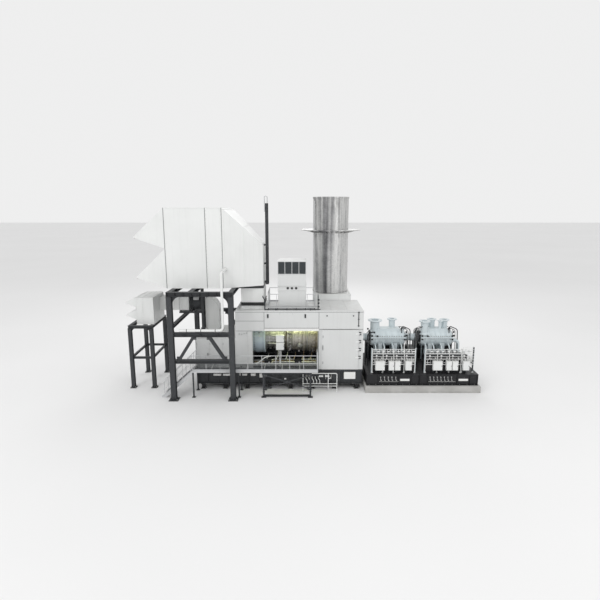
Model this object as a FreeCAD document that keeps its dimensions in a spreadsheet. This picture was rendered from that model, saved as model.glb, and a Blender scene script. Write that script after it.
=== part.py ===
import FreeCAD, Part
import operator
import os
from types import SimpleNamespace

import Sketcher

# A packaged gas turbine that drives two compressors, 1:1 in millimetres.
# X runs along the shaft from the air intake to the compressors, Y across it, away from the walkway, Z up.
# The sheet's X places count from a datum at the turbine's hot end and its Y places from the shaft line.
# The model's origin is on the ground under the middle of the whole set; place() moves from one to the other.

SIZES = {
    # package: base, enclosure and its bays
    "shaft_height": 3370, "pack_left": -7470, "pack_right": 4480, "pack_half": 1940,
    "skid_bottom": 390, "skid_top": 1480, "skid_flange": 110, "skid_beam": 300,
    "skid_recess": 120, "gap": 5, "overrun": 10,
    "bay_left": -4640, "bay_middle": 1310, "pack_roof": 5800, "aux_roof": 3800, "panel": 80, "seam": 10,
    "opening_left": -3430, "opening_top": 4340, "lintel_top": 4530, "header_left": -2580,
    "foot_size": 360, "foot_inset": 400,
    # exhaust bay door and its hinges
    "door_left": 1490, "door_right": 4140, "door_bottom": 1500, "door_top": 4440, "door_thick": 75,
    "door_gap": 5, "door_lap": 100, "hinge_along": 4200, "hinge_proud": 60, "knuckle_radius": 30,
    "knuckle_long": 90, "pin_radius": 14, "barrel_long": 50, "barrel_gap": 6, "hinge_low": 2390,
    "hinge_pitch": 587, "hinge_arm": 260, "hinge_arm_thick": 12, "hinge_root": 130, "hinge_root_gap": 10,
    "handle_inset": 90, "handle_wide": 40, "handle_proud": 55, "handle_tall": 320,
    # turbine on the shaft line
    "inlet_start": -4450, "inlet_end": -2600, "inlet_radius": 1180, "compressor_end": -950,
    "compressor_radius": 800, "flange_rise": 130, "flange_thick": 90, "combustor_end": 250,
    "combustor_radius": 1060, "turbine_radius": 940, "collector_left": 1450, "collector_right": 3500,
    "collector_radius": 1250, "neck_gap": 120, "neck_inset": 200, "waist_dip": 60, "combustor_step": 80,
    "hot_step": 40, "outlet_inset": 60, "outlet_low": 900, "outlet_high": 1900,
    "saddle_long": 200, "saddle_gap": 2,
    "junction_left": -1780, "junction_wide": 580, "junction_front": -1520, "junction_deep": 220,
    "junction_low": 2800, "junction_tall": 540, "junction_pitch": 580, "junction_post": 80,
    # combustion air intake
    "duct_left": -4250, "duct_right": -2640, "duct_half": 1250, "joint_bottom": 6050, "joint_top": 6290,
    "house_left": -9180, "house_right": -5250, "house_half": 2520, "house_floor": 7510, "house_roof": 12940,
    "end_roof": 10400, "hood_reach": 2080, "hood_split": 10230, "hood_drop": 1940, "hood_sheet": 60,
    "ladder_foot": 7430, "ladder_top": 13260, "ladder_half": 230, "ladder_off": 110, "ladder_deep": 200,
    "ladder_rail": 60, "rung_size": 30, "rung_pitch": 300, "rung_first": 250, "bracket_low": 7600,
    "bracket_pitch": 1350, "bracket_size": 70, "belt_proud": 60, "duct_beam_rise": 80, "lower_hood_back": 50,
    "hood_gap": 40,
    # frame under the filter house
    "frame_left": -8660, "frame_right": -4600, "frame_half": 3910, "leg_size": 350, "beam_deep": 290,
    "mid_beam_top": 4760, "mid_beam_deep": 280, "low_beam_top": 2870, "low_beam_deep": 250,
    "post_along": -7300, "brace_size": 130, "brace_top_left": -7150, "brace_top_right": -6110,
    "brace_foot": 320, "gusset_size": 620, "gusset_thick": 160, "base_plate": 650, "plate_thick": 40,
    "post_size": 200, "fan_beam_deep": 240,
    "bleed_radius": 95, "bleed_along": -5130, "bleed_top": 8810, "bleed_low": 4970, "bleed_end": -8030,
    "bleed_front": 4180,
    # ventilation: tower on the roof, small filter, fan and duct
    "tower_left": -1610, "tower_right": 390, "tower_front": -1100, "tower_back": 900, "tower_roof": 9230,
    "tower_waist": 7280, "tower_head": 160, "tower_lip": 40, "louvre_bottom": 8340,
    "louvre_top": 9150, "louvre_gap": 40,
    "vent_left": -11830, "vent_right": -10570, "vent_half": 1300, "vent_floor": 4670, "vent_roof": 6630,
    "vent_hood_reach": 750, "vent_hood_tall": 700, "vent_hood_pitch": 900, "vent_hood_drop": 370,
    "vent_sheet": 30,
    "vent_leg_left": -12230, "vent_leg_right": -10700, "vent_leg_half": 1660, "vent_leg_size": 250,
    "vent_beam_deep": 200, "vent_brace_height": 2280, "vent_brace_wide": 120, "vent_brace_deep": 160,
    "vent_plate": 420,
    "air_duct_size": 1020, "air_duct_across": 750, "air_duct_bottom": 5370, "fan_left": -8370,
    "fan_right": -7150, "fan_proud": 70, "fan_deck_top": 5290, "fan_deck_left": -9100,
    "fan_deck_thick": 110, "fan_deck_front": 110, "fan_deck_beyond": 450, "fan_post": 140,
    "fan_post_inset": 560, "fan_post_step": 400,
    # side exhaust and stack
    "plenum_left": 1060, "plenum_right": 3970, "plenum_back": 5400, "plenum_floor": 1900, "plenum_top": 6280,
    "stack_along": 2420, "stack_across": 3740, "stack_radius": 1400, "stack_wall": 40, "stack_top": 13780,
    "rim_rise": 120, "rim_proud": 40, "ring_radius": 2380, "ring_height": 11200, "ring_thick": 60,
    "ring_segments": 12, "ring_slit": 0.3, "plenum_leg": 260,
    # walkway, stair and roof rails
    "walk_top": 1930, "walk_thick": 130, "walk_front": 3550, "walk_back": 2000, "walk_left": -7460,
    "walk_right": 1200, "rail_tall": 1100, "rail_size": 44, "walk_leg": 90, "stand_left": -2550,
    "walk_leg_middle": -4290, "walk_leg_inset": 50, "walk_leg_back": 140,
    "stand_right": 690, "stand_bar": 120, "stand_back": 10, "stand_foot": 60, "stair_reach": 2160,
    "stair_rises": 10,
    "stair_wide": 1000, "tread_gap": 3, "nosing": 30, "landing_inset": 60, "tread_thick": 40, "tread_deep": 240,
    "stringer_deep": 260, "stringer_thick": 40, "stringer_toe": 70,
    "roof_rail_left": -2400, "roof_rail_right": 1100, "roof_rail_back": 1500, "roof_rail_front": -500,
    "rack_left": 180, "rack_right": 2600, "rack_top": 1400, "rack_across": 2500, "rack_pipe": 32,
    # compressors on their plinth
    "plinth_left": 4620, "plinth_right": 12820, "plinth_half": 2750, "plinth_top": 480,
    "first_left": 4720, "first_right": 8490, "second_left": 8520, "second_right": 12670,
    "base_half": 2540, "base_top": 1300, "casing_radius": 680, "cover_radius": 420, "cover_long": 120,
    "first_casing_left": 5250, "first_casing_right": 7780, "second_casing_left": 8970,
    "second_casing_right": 11300, "nozzle_top": 4700, "nozzle_flange": 100, "guard_radius": 300,
    "pedestal_half": 620, "pedestal_long": 320, "pedestal_inset": 700, "pedestal_drop": 250,
    "pedestal_gap": 2, "rig_top": 3200, "rig_across": 2150, "rig_pipe": 38, "rig_left": 420,
    "rig_right": 320, "rig_low": 1900, "rig_pitch": 385, "box_gap": 4, "box_foot": 270, "box_tall": 650,
    "box_deep": 260, "first_boxes": 5340, "second_boxes": 9440,
}

# Branches on top of the compressors: place along, place across, neck radius and flange radius.
BRANCHES = {
    "first_suction": (5600, 0, 340, 530), "first_discharge": (6950, 400, 230, 370),
    "second_suction": (9250, -300, 270, 420), "second_side": (9950, 350, 230, 350),
    "second_drain": (10420, -250, 110, 190), "second_discharge": (10850, 150, 230, 370),
}
# Instrument boxes on a rack: distance from the first one's left side, and width.
BOXES = {
    "gauge_box": (0, 660), "left_relay_box": (950, 380),
    "right_relay_box": (1380, 400), "valve_box": (2130, 450),
}
for name, numbers in BRANCHES.items():
    SIZES.update(zip((f"{name}_along", f"{name}_across", f"{name}_neck", f"{name}_flange"), numbers))
for name, numbers in BOXES.items():
    SIZES.update(zip((f"{name}_offset", f"{name}_wide"), numbers))

doc = FreeCAD.newDocument("GasTurbine")
sheet = doc.addObject("Spreadsheet::Sheet", "Sizes")
for row, (alias, number) in enumerate(SIZES.items(), start=1):
    sheet.set(f"A{row}", alias)
    sheet.set(f"B{row}", str(number))
    sheet.setAlias(f"B{row}", alias)
doc.recompute()


class Size:
    """A value from the sheet, or one worked out from such values, with the text that binds to it."""

    def __init__(self, value, text):
        self.value = float(value)
        self.text = text

    def __add__(self, other):
        return joined(self, "+", other)

    def __radd__(self, other):
        return joined(other, "+", self)

    def __sub__(self, other):
        return joined(self, "-", other)

    def __rsub__(self, other):
        return joined(other, "-", self)

    def __mul__(self, other):
        return joined(self, "*", other)

    def __rmul__(self, other):
        return joined(other, "*", self)

    def __truediv__(self, other):
        return joined(self, "/", other)

    def __rtruediv__(self, other):
        return joined(other, "/", self)

    def __neg__(self):
        return joined(-1, "*", self)


ACTIONS = {"+": operator.add, "-": operator.sub, "*": operator.mul, "/": operator.truediv}


def sized(term):
    """The term itself if it is a Size, else the plain number as one."""
    return term if isinstance(term, Size) else Size(term, f"({float(term):.6f})")


def size_of(alias):
    return Size(sheet.get(alias), f"Sizes.{alias}")


def joined(first, sign, second):
    first, second = sized(first), sized(second)
    return Size(ACTIONS[sign](first.value, second.value), f"({first.text} {sign} {second.text})")


S = SimpleNamespace(**{alias: size_of(alias) for alias in SIZES})
VENT_TIP = S.vent_left - S.vent_hood_reach
CENTRE_ALONG = (VENT_TIP + S.plinth_right) / 2
CENTRE_ACROSS = (S.stack_across + S.ring_radius - S.bleed_front - S.bleed_radius) / 2
UPRIGHT = FreeCAD.Rotation()
ALONG = FreeCAD.Rotation(FreeCAD.Vector(0, 1, 0), 90)
ACROSS = FreeCAD.Rotation(FreeCAD.Vector(1, 0, 0), -90)
SIDES = (-1, 1)
OVERRUN = S.overrun
nodes = []


def bind(item, path, term):
    item.setExpression(path, sized(term).text)


def place(item, along, across, up, turn=UPRIGHT):
    """Puts an object at a place counted from the datum, the shaft line and the ground."""
    item.Placement = FreeCAD.Placement(FreeCAD.Vector(), turn)
    bind(item, "Placement.Base.x", along - CENTRE_ALONG)
    bind(item, "Placement.Base.y", across - CENTRE_ACROSS)
    bind(item, "Placement.Base.z", up)
    return item


def solid(kind, **sizes):
    item = doc.addObject(kind, kind.split("::")[1])
    for path, term in sizes.items():
        bind(item, path, term)
    return item


def block(along, across, up):
    """Box from its lowest to its highest place on each axis."""
    item = solid("Part::Box", Length=along[1] - along[0], Width=across[1] - across[0], Height=up[1] - up[0])
    return place(item, along[0], across[0], up[0])


def about(middle, width):
    """The two places that lie half a width to each side of a middle."""
    return middle - width / 2, middle + width / 2


def rod(radius, length, along, across, up, turn=UPRIGHT):
    return place(solid("Part::Cylinder", Radius=radius, Height=length), along, across, up, turn)


def fuse(pieces):
    item = doc.addObject("Part::MultiFuse", "Fuse")
    item.Shapes = pieces
    return item


def cut(base, tool):
    item = doc.addObject("Part::Cut", "Cut")
    item.Base = base
    item.Tool = tool
    return item


def group(pieces):
    item = doc.addObject("Part::Compound", "Group")
    item.Links = pieces
    return item


def node(label, item):
    """Names a finished sub-part, and keeps it for the export."""
    item.Label = label
    nodes.append(item)
    return item


def origin_plane(body, role):
    return next(plane for plane in body.Origin.OriginFeatures if plane.Role == role)


def outline(body, points, role):
    """Closed sketch of straight edges on one of the body's origin planes, each corner bound to the sheet."""
    sketch = body.newObject("Sketcher::SketchObject", "Outline")
    sketch.AttachmentSupport = [(origin_plane(body, role), "")]
    sketch.MapMode = "FlatFace"
    corners = [(sized(u), sized(v)) for u, v in points]
    flat = [FreeCAD.Vector(u.value, v.value, 0) for u, v in corners]
    for index, start in enumerate(flat):
        sketch.addGeometry(Part.LineSegment(start, flat[(index + 1) % len(flat)]))
    for index in range(len(flat)):
        sketch.addConstraint(Sketcher.Constraint("Coincident", index, 2, (index + 1) % len(flat), 1))
    for index, (u, v) in enumerate(corners):
        for kind, axis, term in (("DistanceX", -2, u), ("DistanceY", -1, v)):
            if abs(term.value) < 1e-6:
                sketch.addConstraint(Sketcher.Constraint("PointOnObject", index, 1, axis))
            else:
                number = sketch.addConstraint(Sketcher.Constraint(kind, -1, 1, index, 1, term.value))
                sketch.setExpression(f"Constraints[{number}]", term.text)
    return sketch


def side_profile(points, width, across):
    """Plate or prism whose outline, seen from the walkway, is given by places along and up."""
    body = doc.addObject("PartDesign::Body", "Profile")
    sketch = outline(body, points, "XZ_Plane")
    pad = body.newObject("PartDesign::Pad", "Pad")
    pad.Profile = sketch
    pad.Midplane = True
    bind(pad, "Length", width)
    return place(body, sized(0), across, sized(0))


def turned(points, along):
    """Solid turned about the shaft line, from places along it and radii."""
    body = doc.addObject("PartDesign::Body", "Turned")
    sketch = outline(body, points, "XZ_Plane")
    revolution = body.newObject("PartDesign::Revolution", "Revolution")
    revolution.Profile = sketch
    revolution.ReferenceAxis = (sketch, ["H_Axis"])
    revolution.Angle = 360
    return place(body, along, sized(0), S.shaft_height)


def wall_rail(along, across, foot, posts):
    """Handrail in one plane: posts, a top rail and a mid rail, fused."""
    runs_along = abs((along[1] - along[0]).value) > abs((across[1] - across[0]).value)
    pieces = []
    for share in (0.5, 1.0):
        top = foot + S.rail_tall * share
        pieces.append(block(along, across, (top - S.rail_size, top)))
    for number in range(posts):
        if runs_along:
            start = along[0] + (along[1] - along[0] - S.rail_size) * number / (posts - 1)
            pieces.append(block((start, start + S.rail_size), across, (foot, foot + S.rail_tall)))
        else:
            start = across[0] + (across[1] - across[0] - S.rail_size) * number / (posts - 1)
            pieces.append(block(along, (start, start + S.rail_size), (foot, foot + S.rail_tall)))
    return fuse(pieces)


# ---------------------------------------------------------------------------------------------- package

def package_base():
    """Deck plate on a grid of skid beams, the long ones with channel sides, on two rows of feet."""
    under = S.skid_top - S.skid_flange
    node("package_deck", block((S.pack_left, S.pack_right), (-S.pack_half, S.pack_half), (under, S.skid_top)))
    beams = []
    web = (S.skid_bottom + S.skid_flange, under - S.skid_flange)
    for side in SIDES:
        beam = block((S.pack_left, S.pack_right), about(side * (S.pack_half - S.skid_beam / 2), S.skid_beam),
                     (S.skid_bottom, under))
        recess = block((S.pack_left - OVERRUN, S.pack_right + OVERRUN),
                       about(side * S.pack_half, S.skid_recess * 2), web)
        beams.append(cut(beam, recess))
    inside = S.pack_half - S.skid_beam - S.gap
    count = 6
    for number in range(count):
        along = S.pack_left + (S.pack_right - S.pack_left - S.skid_beam) * number / (count - 1)
        beams.append(block((along, along + S.skid_beam), (-inside, inside), (S.skid_bottom, under)))
    node("package_skid", group(beams))
    feet = []
    count = 8
    for number in range(count):
        step = (S.pack_right - S.pack_left - S.foot_inset * 2) / (count - 1)
        for side in SIDES:
            along = about(S.pack_left + S.foot_inset + step * number, S.foot_size)
            across = about(side * (S.pack_half - S.foot_size / 2), S.foot_size)
            feet.append(block(along, across, (sized(0), S.skid_bottom)))
    node("package_feet", group(feet))


def enclosure():
    """Panelled housing: a low closed auxiliary bay, an open turbine bay and the exhaust bay."""
    side = S.pack_half - S.panel
    under_roof = S.pack_roof - S.panel
    full_width = (-S.pack_half, S.pack_half)
    node("auxiliary_bay", block((S.pack_left, S.bay_left), full_width, (S.skid_top, S.aux_roof)))
    inside = (-side, side)
    tall = (S.skid_top, under_roof)
    left = block((S.bay_left, S.bay_left + S.panel), inside, tall)
    middle = block(about(S.bay_middle, S.panel), inside, tall)
    right = block((S.pack_right - S.panel, S.pack_right), inside, tall)
    node("enclosure_bulkheads", group([left, middle, right]))
    node("enclosure_rear_wall", block((S.bay_left, S.pack_right), (side, S.pack_half), tall))
    node("enclosure_roof", block((S.bay_left, S.pack_right), full_width, (under_roof, S.pack_roof)))
    front = (-S.pack_half, -side)
    half_seam = S.seam / 2
    door_hole_left = S.door_left + S.door_lap
    door_hole_right = S.door_right - S.door_lap
    upper = (S.door_top + S.seam, under_roof)
    header = (S.header_left + half_seam, S.bay_middle - half_seam)
    panels = [
        block((S.bay_left, S.opening_left), front, (S.skid_top, S.opening_top - half_seam)),
        block((S.bay_left, S.header_left - half_seam), front, (S.opening_top + half_seam, under_roof)),
        block(header, front, (S.lintel_top + half_seam, under_roof)),
        block(header, front, (S.opening_top, S.lintel_top - half_seam)),
        block((S.bay_middle + half_seam, door_hole_left), front, (S.skid_top, S.door_top)),
        block((door_hole_right, S.pack_right), front, (S.skid_top, S.door_top)),
        block((S.bay_middle + half_seam, S.pack_right), front, upper),
    ]
    node("enclosure_front_panels", group(panels))


def exhaust_door():
    """Flat door leaf on four pinned hinges at its right edge."""
    outer = -(S.pack_half + S.door_gap + S.door_thick)
    inner = -(S.pack_half + S.door_gap)
    leaf = block((S.door_left, S.door_right), (outer, inner), (S.door_bottom, S.door_top))
    handle_foot = (S.door_bottom + S.door_top) / 2
    handle_left = S.door_left + S.handle_inset
    handle = block((handle_left, handle_left + S.handle_wide), (outer - S.handle_proud, outer + OVERRUN),
                   (handle_foot, handle_foot + S.handle_tall))
    node("exhaust_door", fuse([leaf, handle]))
    axis = -(S.pack_half + S.hinge_proud)
    arms, pins = [], []
    hinges = 4
    for number in range(hinges):
        middle = S.hinge_low + S.hinge_pitch * number
        foot = middle - S.knuckle_long / 2
        knuckle = rod(S.knuckle_radius, S.knuckle_long, S.hinge_along, axis, foot)
        plate = block((S.hinge_along - S.hinge_arm, S.hinge_along), (outer - S.hinge_arm_thick, outer),
                      (foot, foot + S.knuckle_long))
        bore = rod(S.pin_radius + S.door_gap, S.knuckle_long + OVERRUN * 2, S.hinge_along, axis, foot - OVERRUN)
        arms.append(cut(fuse([knuckle, plate]), bore))
        low = foot - S.barrel_gap - S.barrel_long
        high = foot + S.knuckle_long + S.barrel_gap
        pieces = [rod(S.pin_radius, high - low + S.barrel_long, S.hinge_along, axis, low)]
        for barrel in (low, high):
            pieces.append(rod(S.knuckle_radius, S.barrel_long, S.hinge_along, axis, barrel))
            pieces.append(block((S.hinge_along - S.knuckle_radius, S.hinge_along + S.hinge_root),
                                (axis + S.hinge_root_gap, -S.pack_half), (barrel, barrel + S.barrel_long)))
        pins.append(fuse(pieces))
    node("door_hinge_arms", group(arms))
    node("door_hinge_pins", group(pins))


# ---------------------------------------------------------------------------------------------- turbine

def flanged_drum(label, start, end, first_radius, waist_radius, last_radius):
    """Turned casing with a bolting flange at each end and a waist between."""
    long = end - start
    rise = S.flange_rise
    thick = S.flange_thick
    points = [
        (0, 0), (long, 0), (long, last_radius + rise), (long - thick, last_radius + rise),
        (long - thick, last_radius), (long / 2, waist_radius), (thick, first_radius),
        (thick, first_radius + rise), (0, first_radius + rise),
    ]
    return node(label, turned(points, start))


def turbine():
    """Gas generator and power turbine on the shaft line, their saddles and the exhaust collector."""
    bell = rod(S.inlet_radius, S.inlet_end - S.inlet_start, S.inlet_start, sized(0), S.shaft_height, ALONG)
    half_neck = S.inlet_radius - S.neck_inset
    neck = block((S.duct_left, S.inlet_end - S.neck_gap), (-half_neck, half_neck),
                 (S.shaft_height, S.pack_roof - S.panel))
    node("turbine_inlet_casing", fuse([bell, neck]))
    flanged_drum("compressor_casing", S.inlet_end, S.compressor_end,
                 S.compressor_radius, S.compressor_radius - S.waist_dip, S.compressor_radius)
    flanged_drum("combustor_casing", S.compressor_end, S.combustor_end,
                 S.compressor_radius + S.combustor_step, S.combustor_radius, S.combustor_radius - S.hot_step)
    flanged_drum("power_turbine_casing", S.combustor_end, S.bay_middle - S.panel / 2,
                 S.turbine_radius, S.turbine_radius + S.hot_step, S.turbine_radius + S.waist_dip)
    drum = rod(S.collector_radius, S.collector_right - S.collector_left, S.collector_left, sized(0),
               S.shaft_height, ALONG)
    outlet = block((S.collector_left + S.outlet_inset, S.collector_right - S.outlet_inset),
                   (sized(0), S.pack_half - S.panel),
                   (S.shaft_height - S.outlet_low, S.shaft_height + S.outlet_high))
    node("exhaust_collector", fuse([drum, outlet]))
    saddles = []
    seat_half, seat_rise = 0.7, 0.73
    for start, end, radius in ((S.inlet_start, S.inlet_end, S.inlet_radius),
                               (S.inlet_end, S.compressor_end, S.compressor_radius),
                               (S.combustor_end, S.bay_middle, S.turbine_radius + S.waist_dip),
                               (S.collector_left, S.collector_right, S.collector_radius)):
        span = about((start + end) / 2, S.saddle_long)
        seat = block(span, (-radius * seat_half, radius * seat_half),
                     (S.skid_top, S.shaft_height - radius * seat_rise))
        round_cut = rod(radius + S.saddle_gap, S.saddle_long + OVERRUN * 2, span[0] - OVERRUN, sized(0),
                        S.shaft_height, ALONG)
        saddles.append(cut(seat, round_cut))
    node("turbine_saddles", group(saddles))
    along = (S.junction_left, S.junction_left + S.junction_wide)
    across = (S.junction_front, S.junction_front + S.junction_deep)
    boxes = [block(about((along[0] + along[1]) / 2, S.junction_post),
                   about((across[0] + across[1]) / 2, S.junction_post), (S.skid_top, S.junction_low - S.gap))]
    for number in range(2):
        foot = S.junction_low + S.junction_pitch * number
        boxes.append(block(along, across, (foot, foot + S.junction_tall)))
    node("junction_boxes", group(boxes))


# ---------------------------------------------------------------------------------------------- air intake

def hood(root_top, root_bottom, wall, reach, drop, sheet_thick, half):
    """Weather hood on a wall that faces -X: a sloping top sheet and two cheeks, open underneath."""
    tip = (wall - reach, root_top - drop)
    slanted, clear, clear_below = 1.4, 1.6, 1.76
    top = side_profile([(wall, root_top), tip, (tip[0] + sheet_thick, tip[1] - sheet_thick),
                        (wall, root_top - sheet_thick * slanted)], half * 2, sized(0))
    gap = sheet_thick * clear
    cheeks = []
    for side in SIDES:
        corners = [(wall, root_top - gap), (tip[0] + gap, tip[1] - sheet_thick * clear_below),
                   (wall, root_bottom)]
        cheeks.append(side_profile(corners, sheet_thick, side * (half - sheet_thick / 2)))
    return [top] + cheeks


def air_intake():
    """Filter house with two weather hoods, its tapering outlet, and the duct down to the turbine."""
    node("filter_house", block((S.house_left, S.house_right), (-S.house_half, S.house_half),
                               (S.house_floor, S.house_roof)))
    taper = solid("Part::Wedge", Xmin=-S.house_half, Xmax=S.house_half,
                  Ymin=0, Ymax=S.duct_right - S.house_right, Zmin=0, Zmax=S.house_roof - S.house_floor, X2min=-S.duct_half, X2max=S.duct_half,
                  Z2min=0, Z2max=S.end_roof - S.house_floor)
    quarter_back = FreeCAD.Rotation(FreeCAD.Vector(0, 0, 1), -90)
    node("filter_transition", place(taper, S.house_right, sized(0), S.house_floor, quarter_back))
    upper = hood(S.house_roof, S.hood_split + S.hood_gap, S.house_left, S.hood_reach, S.hood_drop, S.hood_sheet,
                 S.house_half)
    lower = hood(S.hood_split, S.house_floor, S.house_left, S.hood_reach - S.lower_hood_back, S.hood_drop,
                 S.hood_sheet, S.house_half)
    node("weather_hoods", group(upper + lower))
    duct = (S.duct_left, S.duct_right)
    across = (-S.duct_half, S.duct_half)
    duct_top = S.house_floor - S.beam_deep + S.duct_beam_rise
    node("intake_duct", group([block(duct, across, (S.pack_roof, S.joint_bottom)),
                               block(duct, across, (S.joint_top, duct_top))]))
    proud = S.belt_proud
    node("expansion_joint", block((S.duct_left - proud, S.duct_right + proud),
                                  (-S.duct_half - proud, S.duct_half + proud), (S.joint_bottom, S.joint_top)))
    front = S.duct_right + S.ladder_off
    rails = []
    for side in SIDES:
        rails.append(block((front, front + S.ladder_deep), about(side * S.ladder_half, S.ladder_rail),
                           (S.ladder_foot, S.ladder_top)))
    rungs, brackets = 19, 3
    for number in range(rungs):
        height = S.ladder_foot + S.rung_first + S.rung_pitch * number
        rails.append(block(about(front + S.ladder_deep / 2, S.rung_size), (-S.ladder_half, S.ladder_half),
                           about(height, S.rung_size)))
    for number in range(brackets):
        height = S.bracket_low + S.bracket_pitch * number
        rails.append(block((S.duct_right, front + OVERRUN), (-S.ladder_half, S.ladder_half),
                           about(height, S.bracket_size)))
    node("filter_ladder", fuse(rails))


# ---------------------------------------------------------------------------------------------- filter frame

def filter_frame():
    """Portal frame that carries the filter house astride the package."""
    legs, plates, gussets, long_beams, cross_beams, braces = [], [], [], [], [], []
    beam_foot = S.house_floor - S.beam_deep
    half_leg = S.leg_size / 2
    bite_share = 0.96
    inside = (S.frame_left + half_leg, S.frame_right - half_leg)
    for side in SIDES:
        across = about(side * S.frame_half, S.leg_size)
        for along in (S.frame_left, S.frame_right):
            legs.append(block(about(along, S.leg_size), across, (S.plate_thick, beam_foot)))
            plates.append(block(about(along, S.base_plate), about(side * S.frame_half, S.base_plate),
                                (sized(0), S.plate_thick)))
        thin = about(side * S.frame_half, S.gusset_thick)
        for face, lean in ((inside[0], 1), (inside[1], -1)):
            far = face + lean * S.gusset_size
            low = beam_foot - S.gusset_size
            edges = (face, far) if lean > 0 else (far, face)
            plate = block(edges, thin, (low, beam_foot))
            bite = rod(S.gusset_size * bite_share, S.gusset_thick + OVERRUN * 2, far, thin[0] - OVERRUN, low, ACROSS)
            gussets.append(cut(plate, bite))
        long_beams.append(block((S.frame_left - half_leg, S.frame_right + half_leg), across,
                                (beam_foot, S.house_floor)))
        long_beams.append(block(inside, across, (S.mid_beam_top - S.mid_beam_deep, S.mid_beam_top)))
        long_beams.append(block(inside, across, (S.low_beam_top - S.low_beam_deep, S.low_beam_top)))
        brace_top = S.mid_beam_top - S.mid_beam_deep
        half_brace = S.brace_size / 2
        for head, foot in ((S.brace_top_left, inside[0] + S.brace_foot),
                           (S.brace_top_right, inside[1] - S.brace_foot)):
            corners = [(head - half_brace, brace_top), (head + half_brace, brace_top),
                       (foot + half_brace, S.low_beam_top), (foot - half_brace, S.low_beam_top)]
            braces.append(side_profile(corners, S.brace_size, side * S.frame_half))
    reach = S.frame_half - half_leg
    for along in (S.frame_left, S.post_along, S.frame_right):
        cross_beams.append(block(about(along, S.beam_deep), (-reach, reach), (beam_foot, S.house_floor)))
    fan_beam_top = S.fan_deck_top - S.fan_deck_thick
    cross_beams.append(block(about(S.frame_left, S.post_size), (-reach, reach),
                             (fan_beam_top - S.fan_beam_deep, fan_beam_top)))
    long_beams.append(block((S.frame_right + half_leg, S.duct_right), (-S.duct_half, S.duct_half),
                            (beam_foot + S.duct_beam_rise, S.house_floor)))
    for along in (S.vent_leg_left, S.vent_leg_right):
        for side in SIDES:
            plates.append(block(about(along, S.vent_plate), about(side * S.vent_leg_half, S.vent_plate),
                                (sized(0), S.plate_thick)))
    legs.append(block(about(S.post_along, S.post_size), about(sized(0), S.post_size), (S.aux_roof, beam_foot)))
    node("frame_columns", group(legs))
    node("column_base_plates", group(plates))
    node("frame_long_beams", group(long_beams))
    node("frame_cross_beams", group(cross_beams))
    node("frame_braces", group(braces + gussets))


def bleed_pipe():
    """White pipe that leaves the filter house, drops in front of the frame and runs back along it."""
    front = -S.bleed_front
    radius = S.bleed_radius
    clear = radius + S.gap
    stub = rod(radius, S.bleed_front - S.house_half - clear, S.bleed_along, front + clear, S.bleed_top, ACROSS)
    riser = rod(radius, S.bleed_top - S.bleed_low + radius * 2, S.bleed_along, front, S.bleed_low - radius)
    run = rod(radius, S.bleed_along - S.bleed_end - clear, S.bleed_end, front, S.bleed_low, ALONG)
    node("bleed_pipe", group([stub, riser, run]))


# ---------------------------------------------------------------------------------------------- ventilation

def vent_tower():
    """Air outlet tower on the roof, with four louvred panels on its front and back."""
    along = (S.tower_left, S.tower_right)
    across = (S.tower_front, S.tower_back)
    lip = S.tower_lip
    body = block(along, across, (S.pack_roof, S.tower_roof))
    head = block((along[0] - lip, along[1] + lip), (across[0] - lip, across[1] + lip),
                 (S.tower_waist, S.tower_waist + S.tower_head))
    node("vent_tower", fuse([body, head]))
    panels = []
    count = 4
    pitch = (S.tower_right - S.tower_left) / count
    for number in range(count):
        left = S.tower_left + pitch * number
        span = (left + S.louvre_gap / 2, left + pitch - S.louvre_gap / 2)
        for face in ((across[0] - lip, across[0]), (across[1], across[1] + lip)):
            panels.append(block(span, face, (S.louvre_bottom, S.louvre_top)))
    node("tower_louvres", group(panels))


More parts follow.
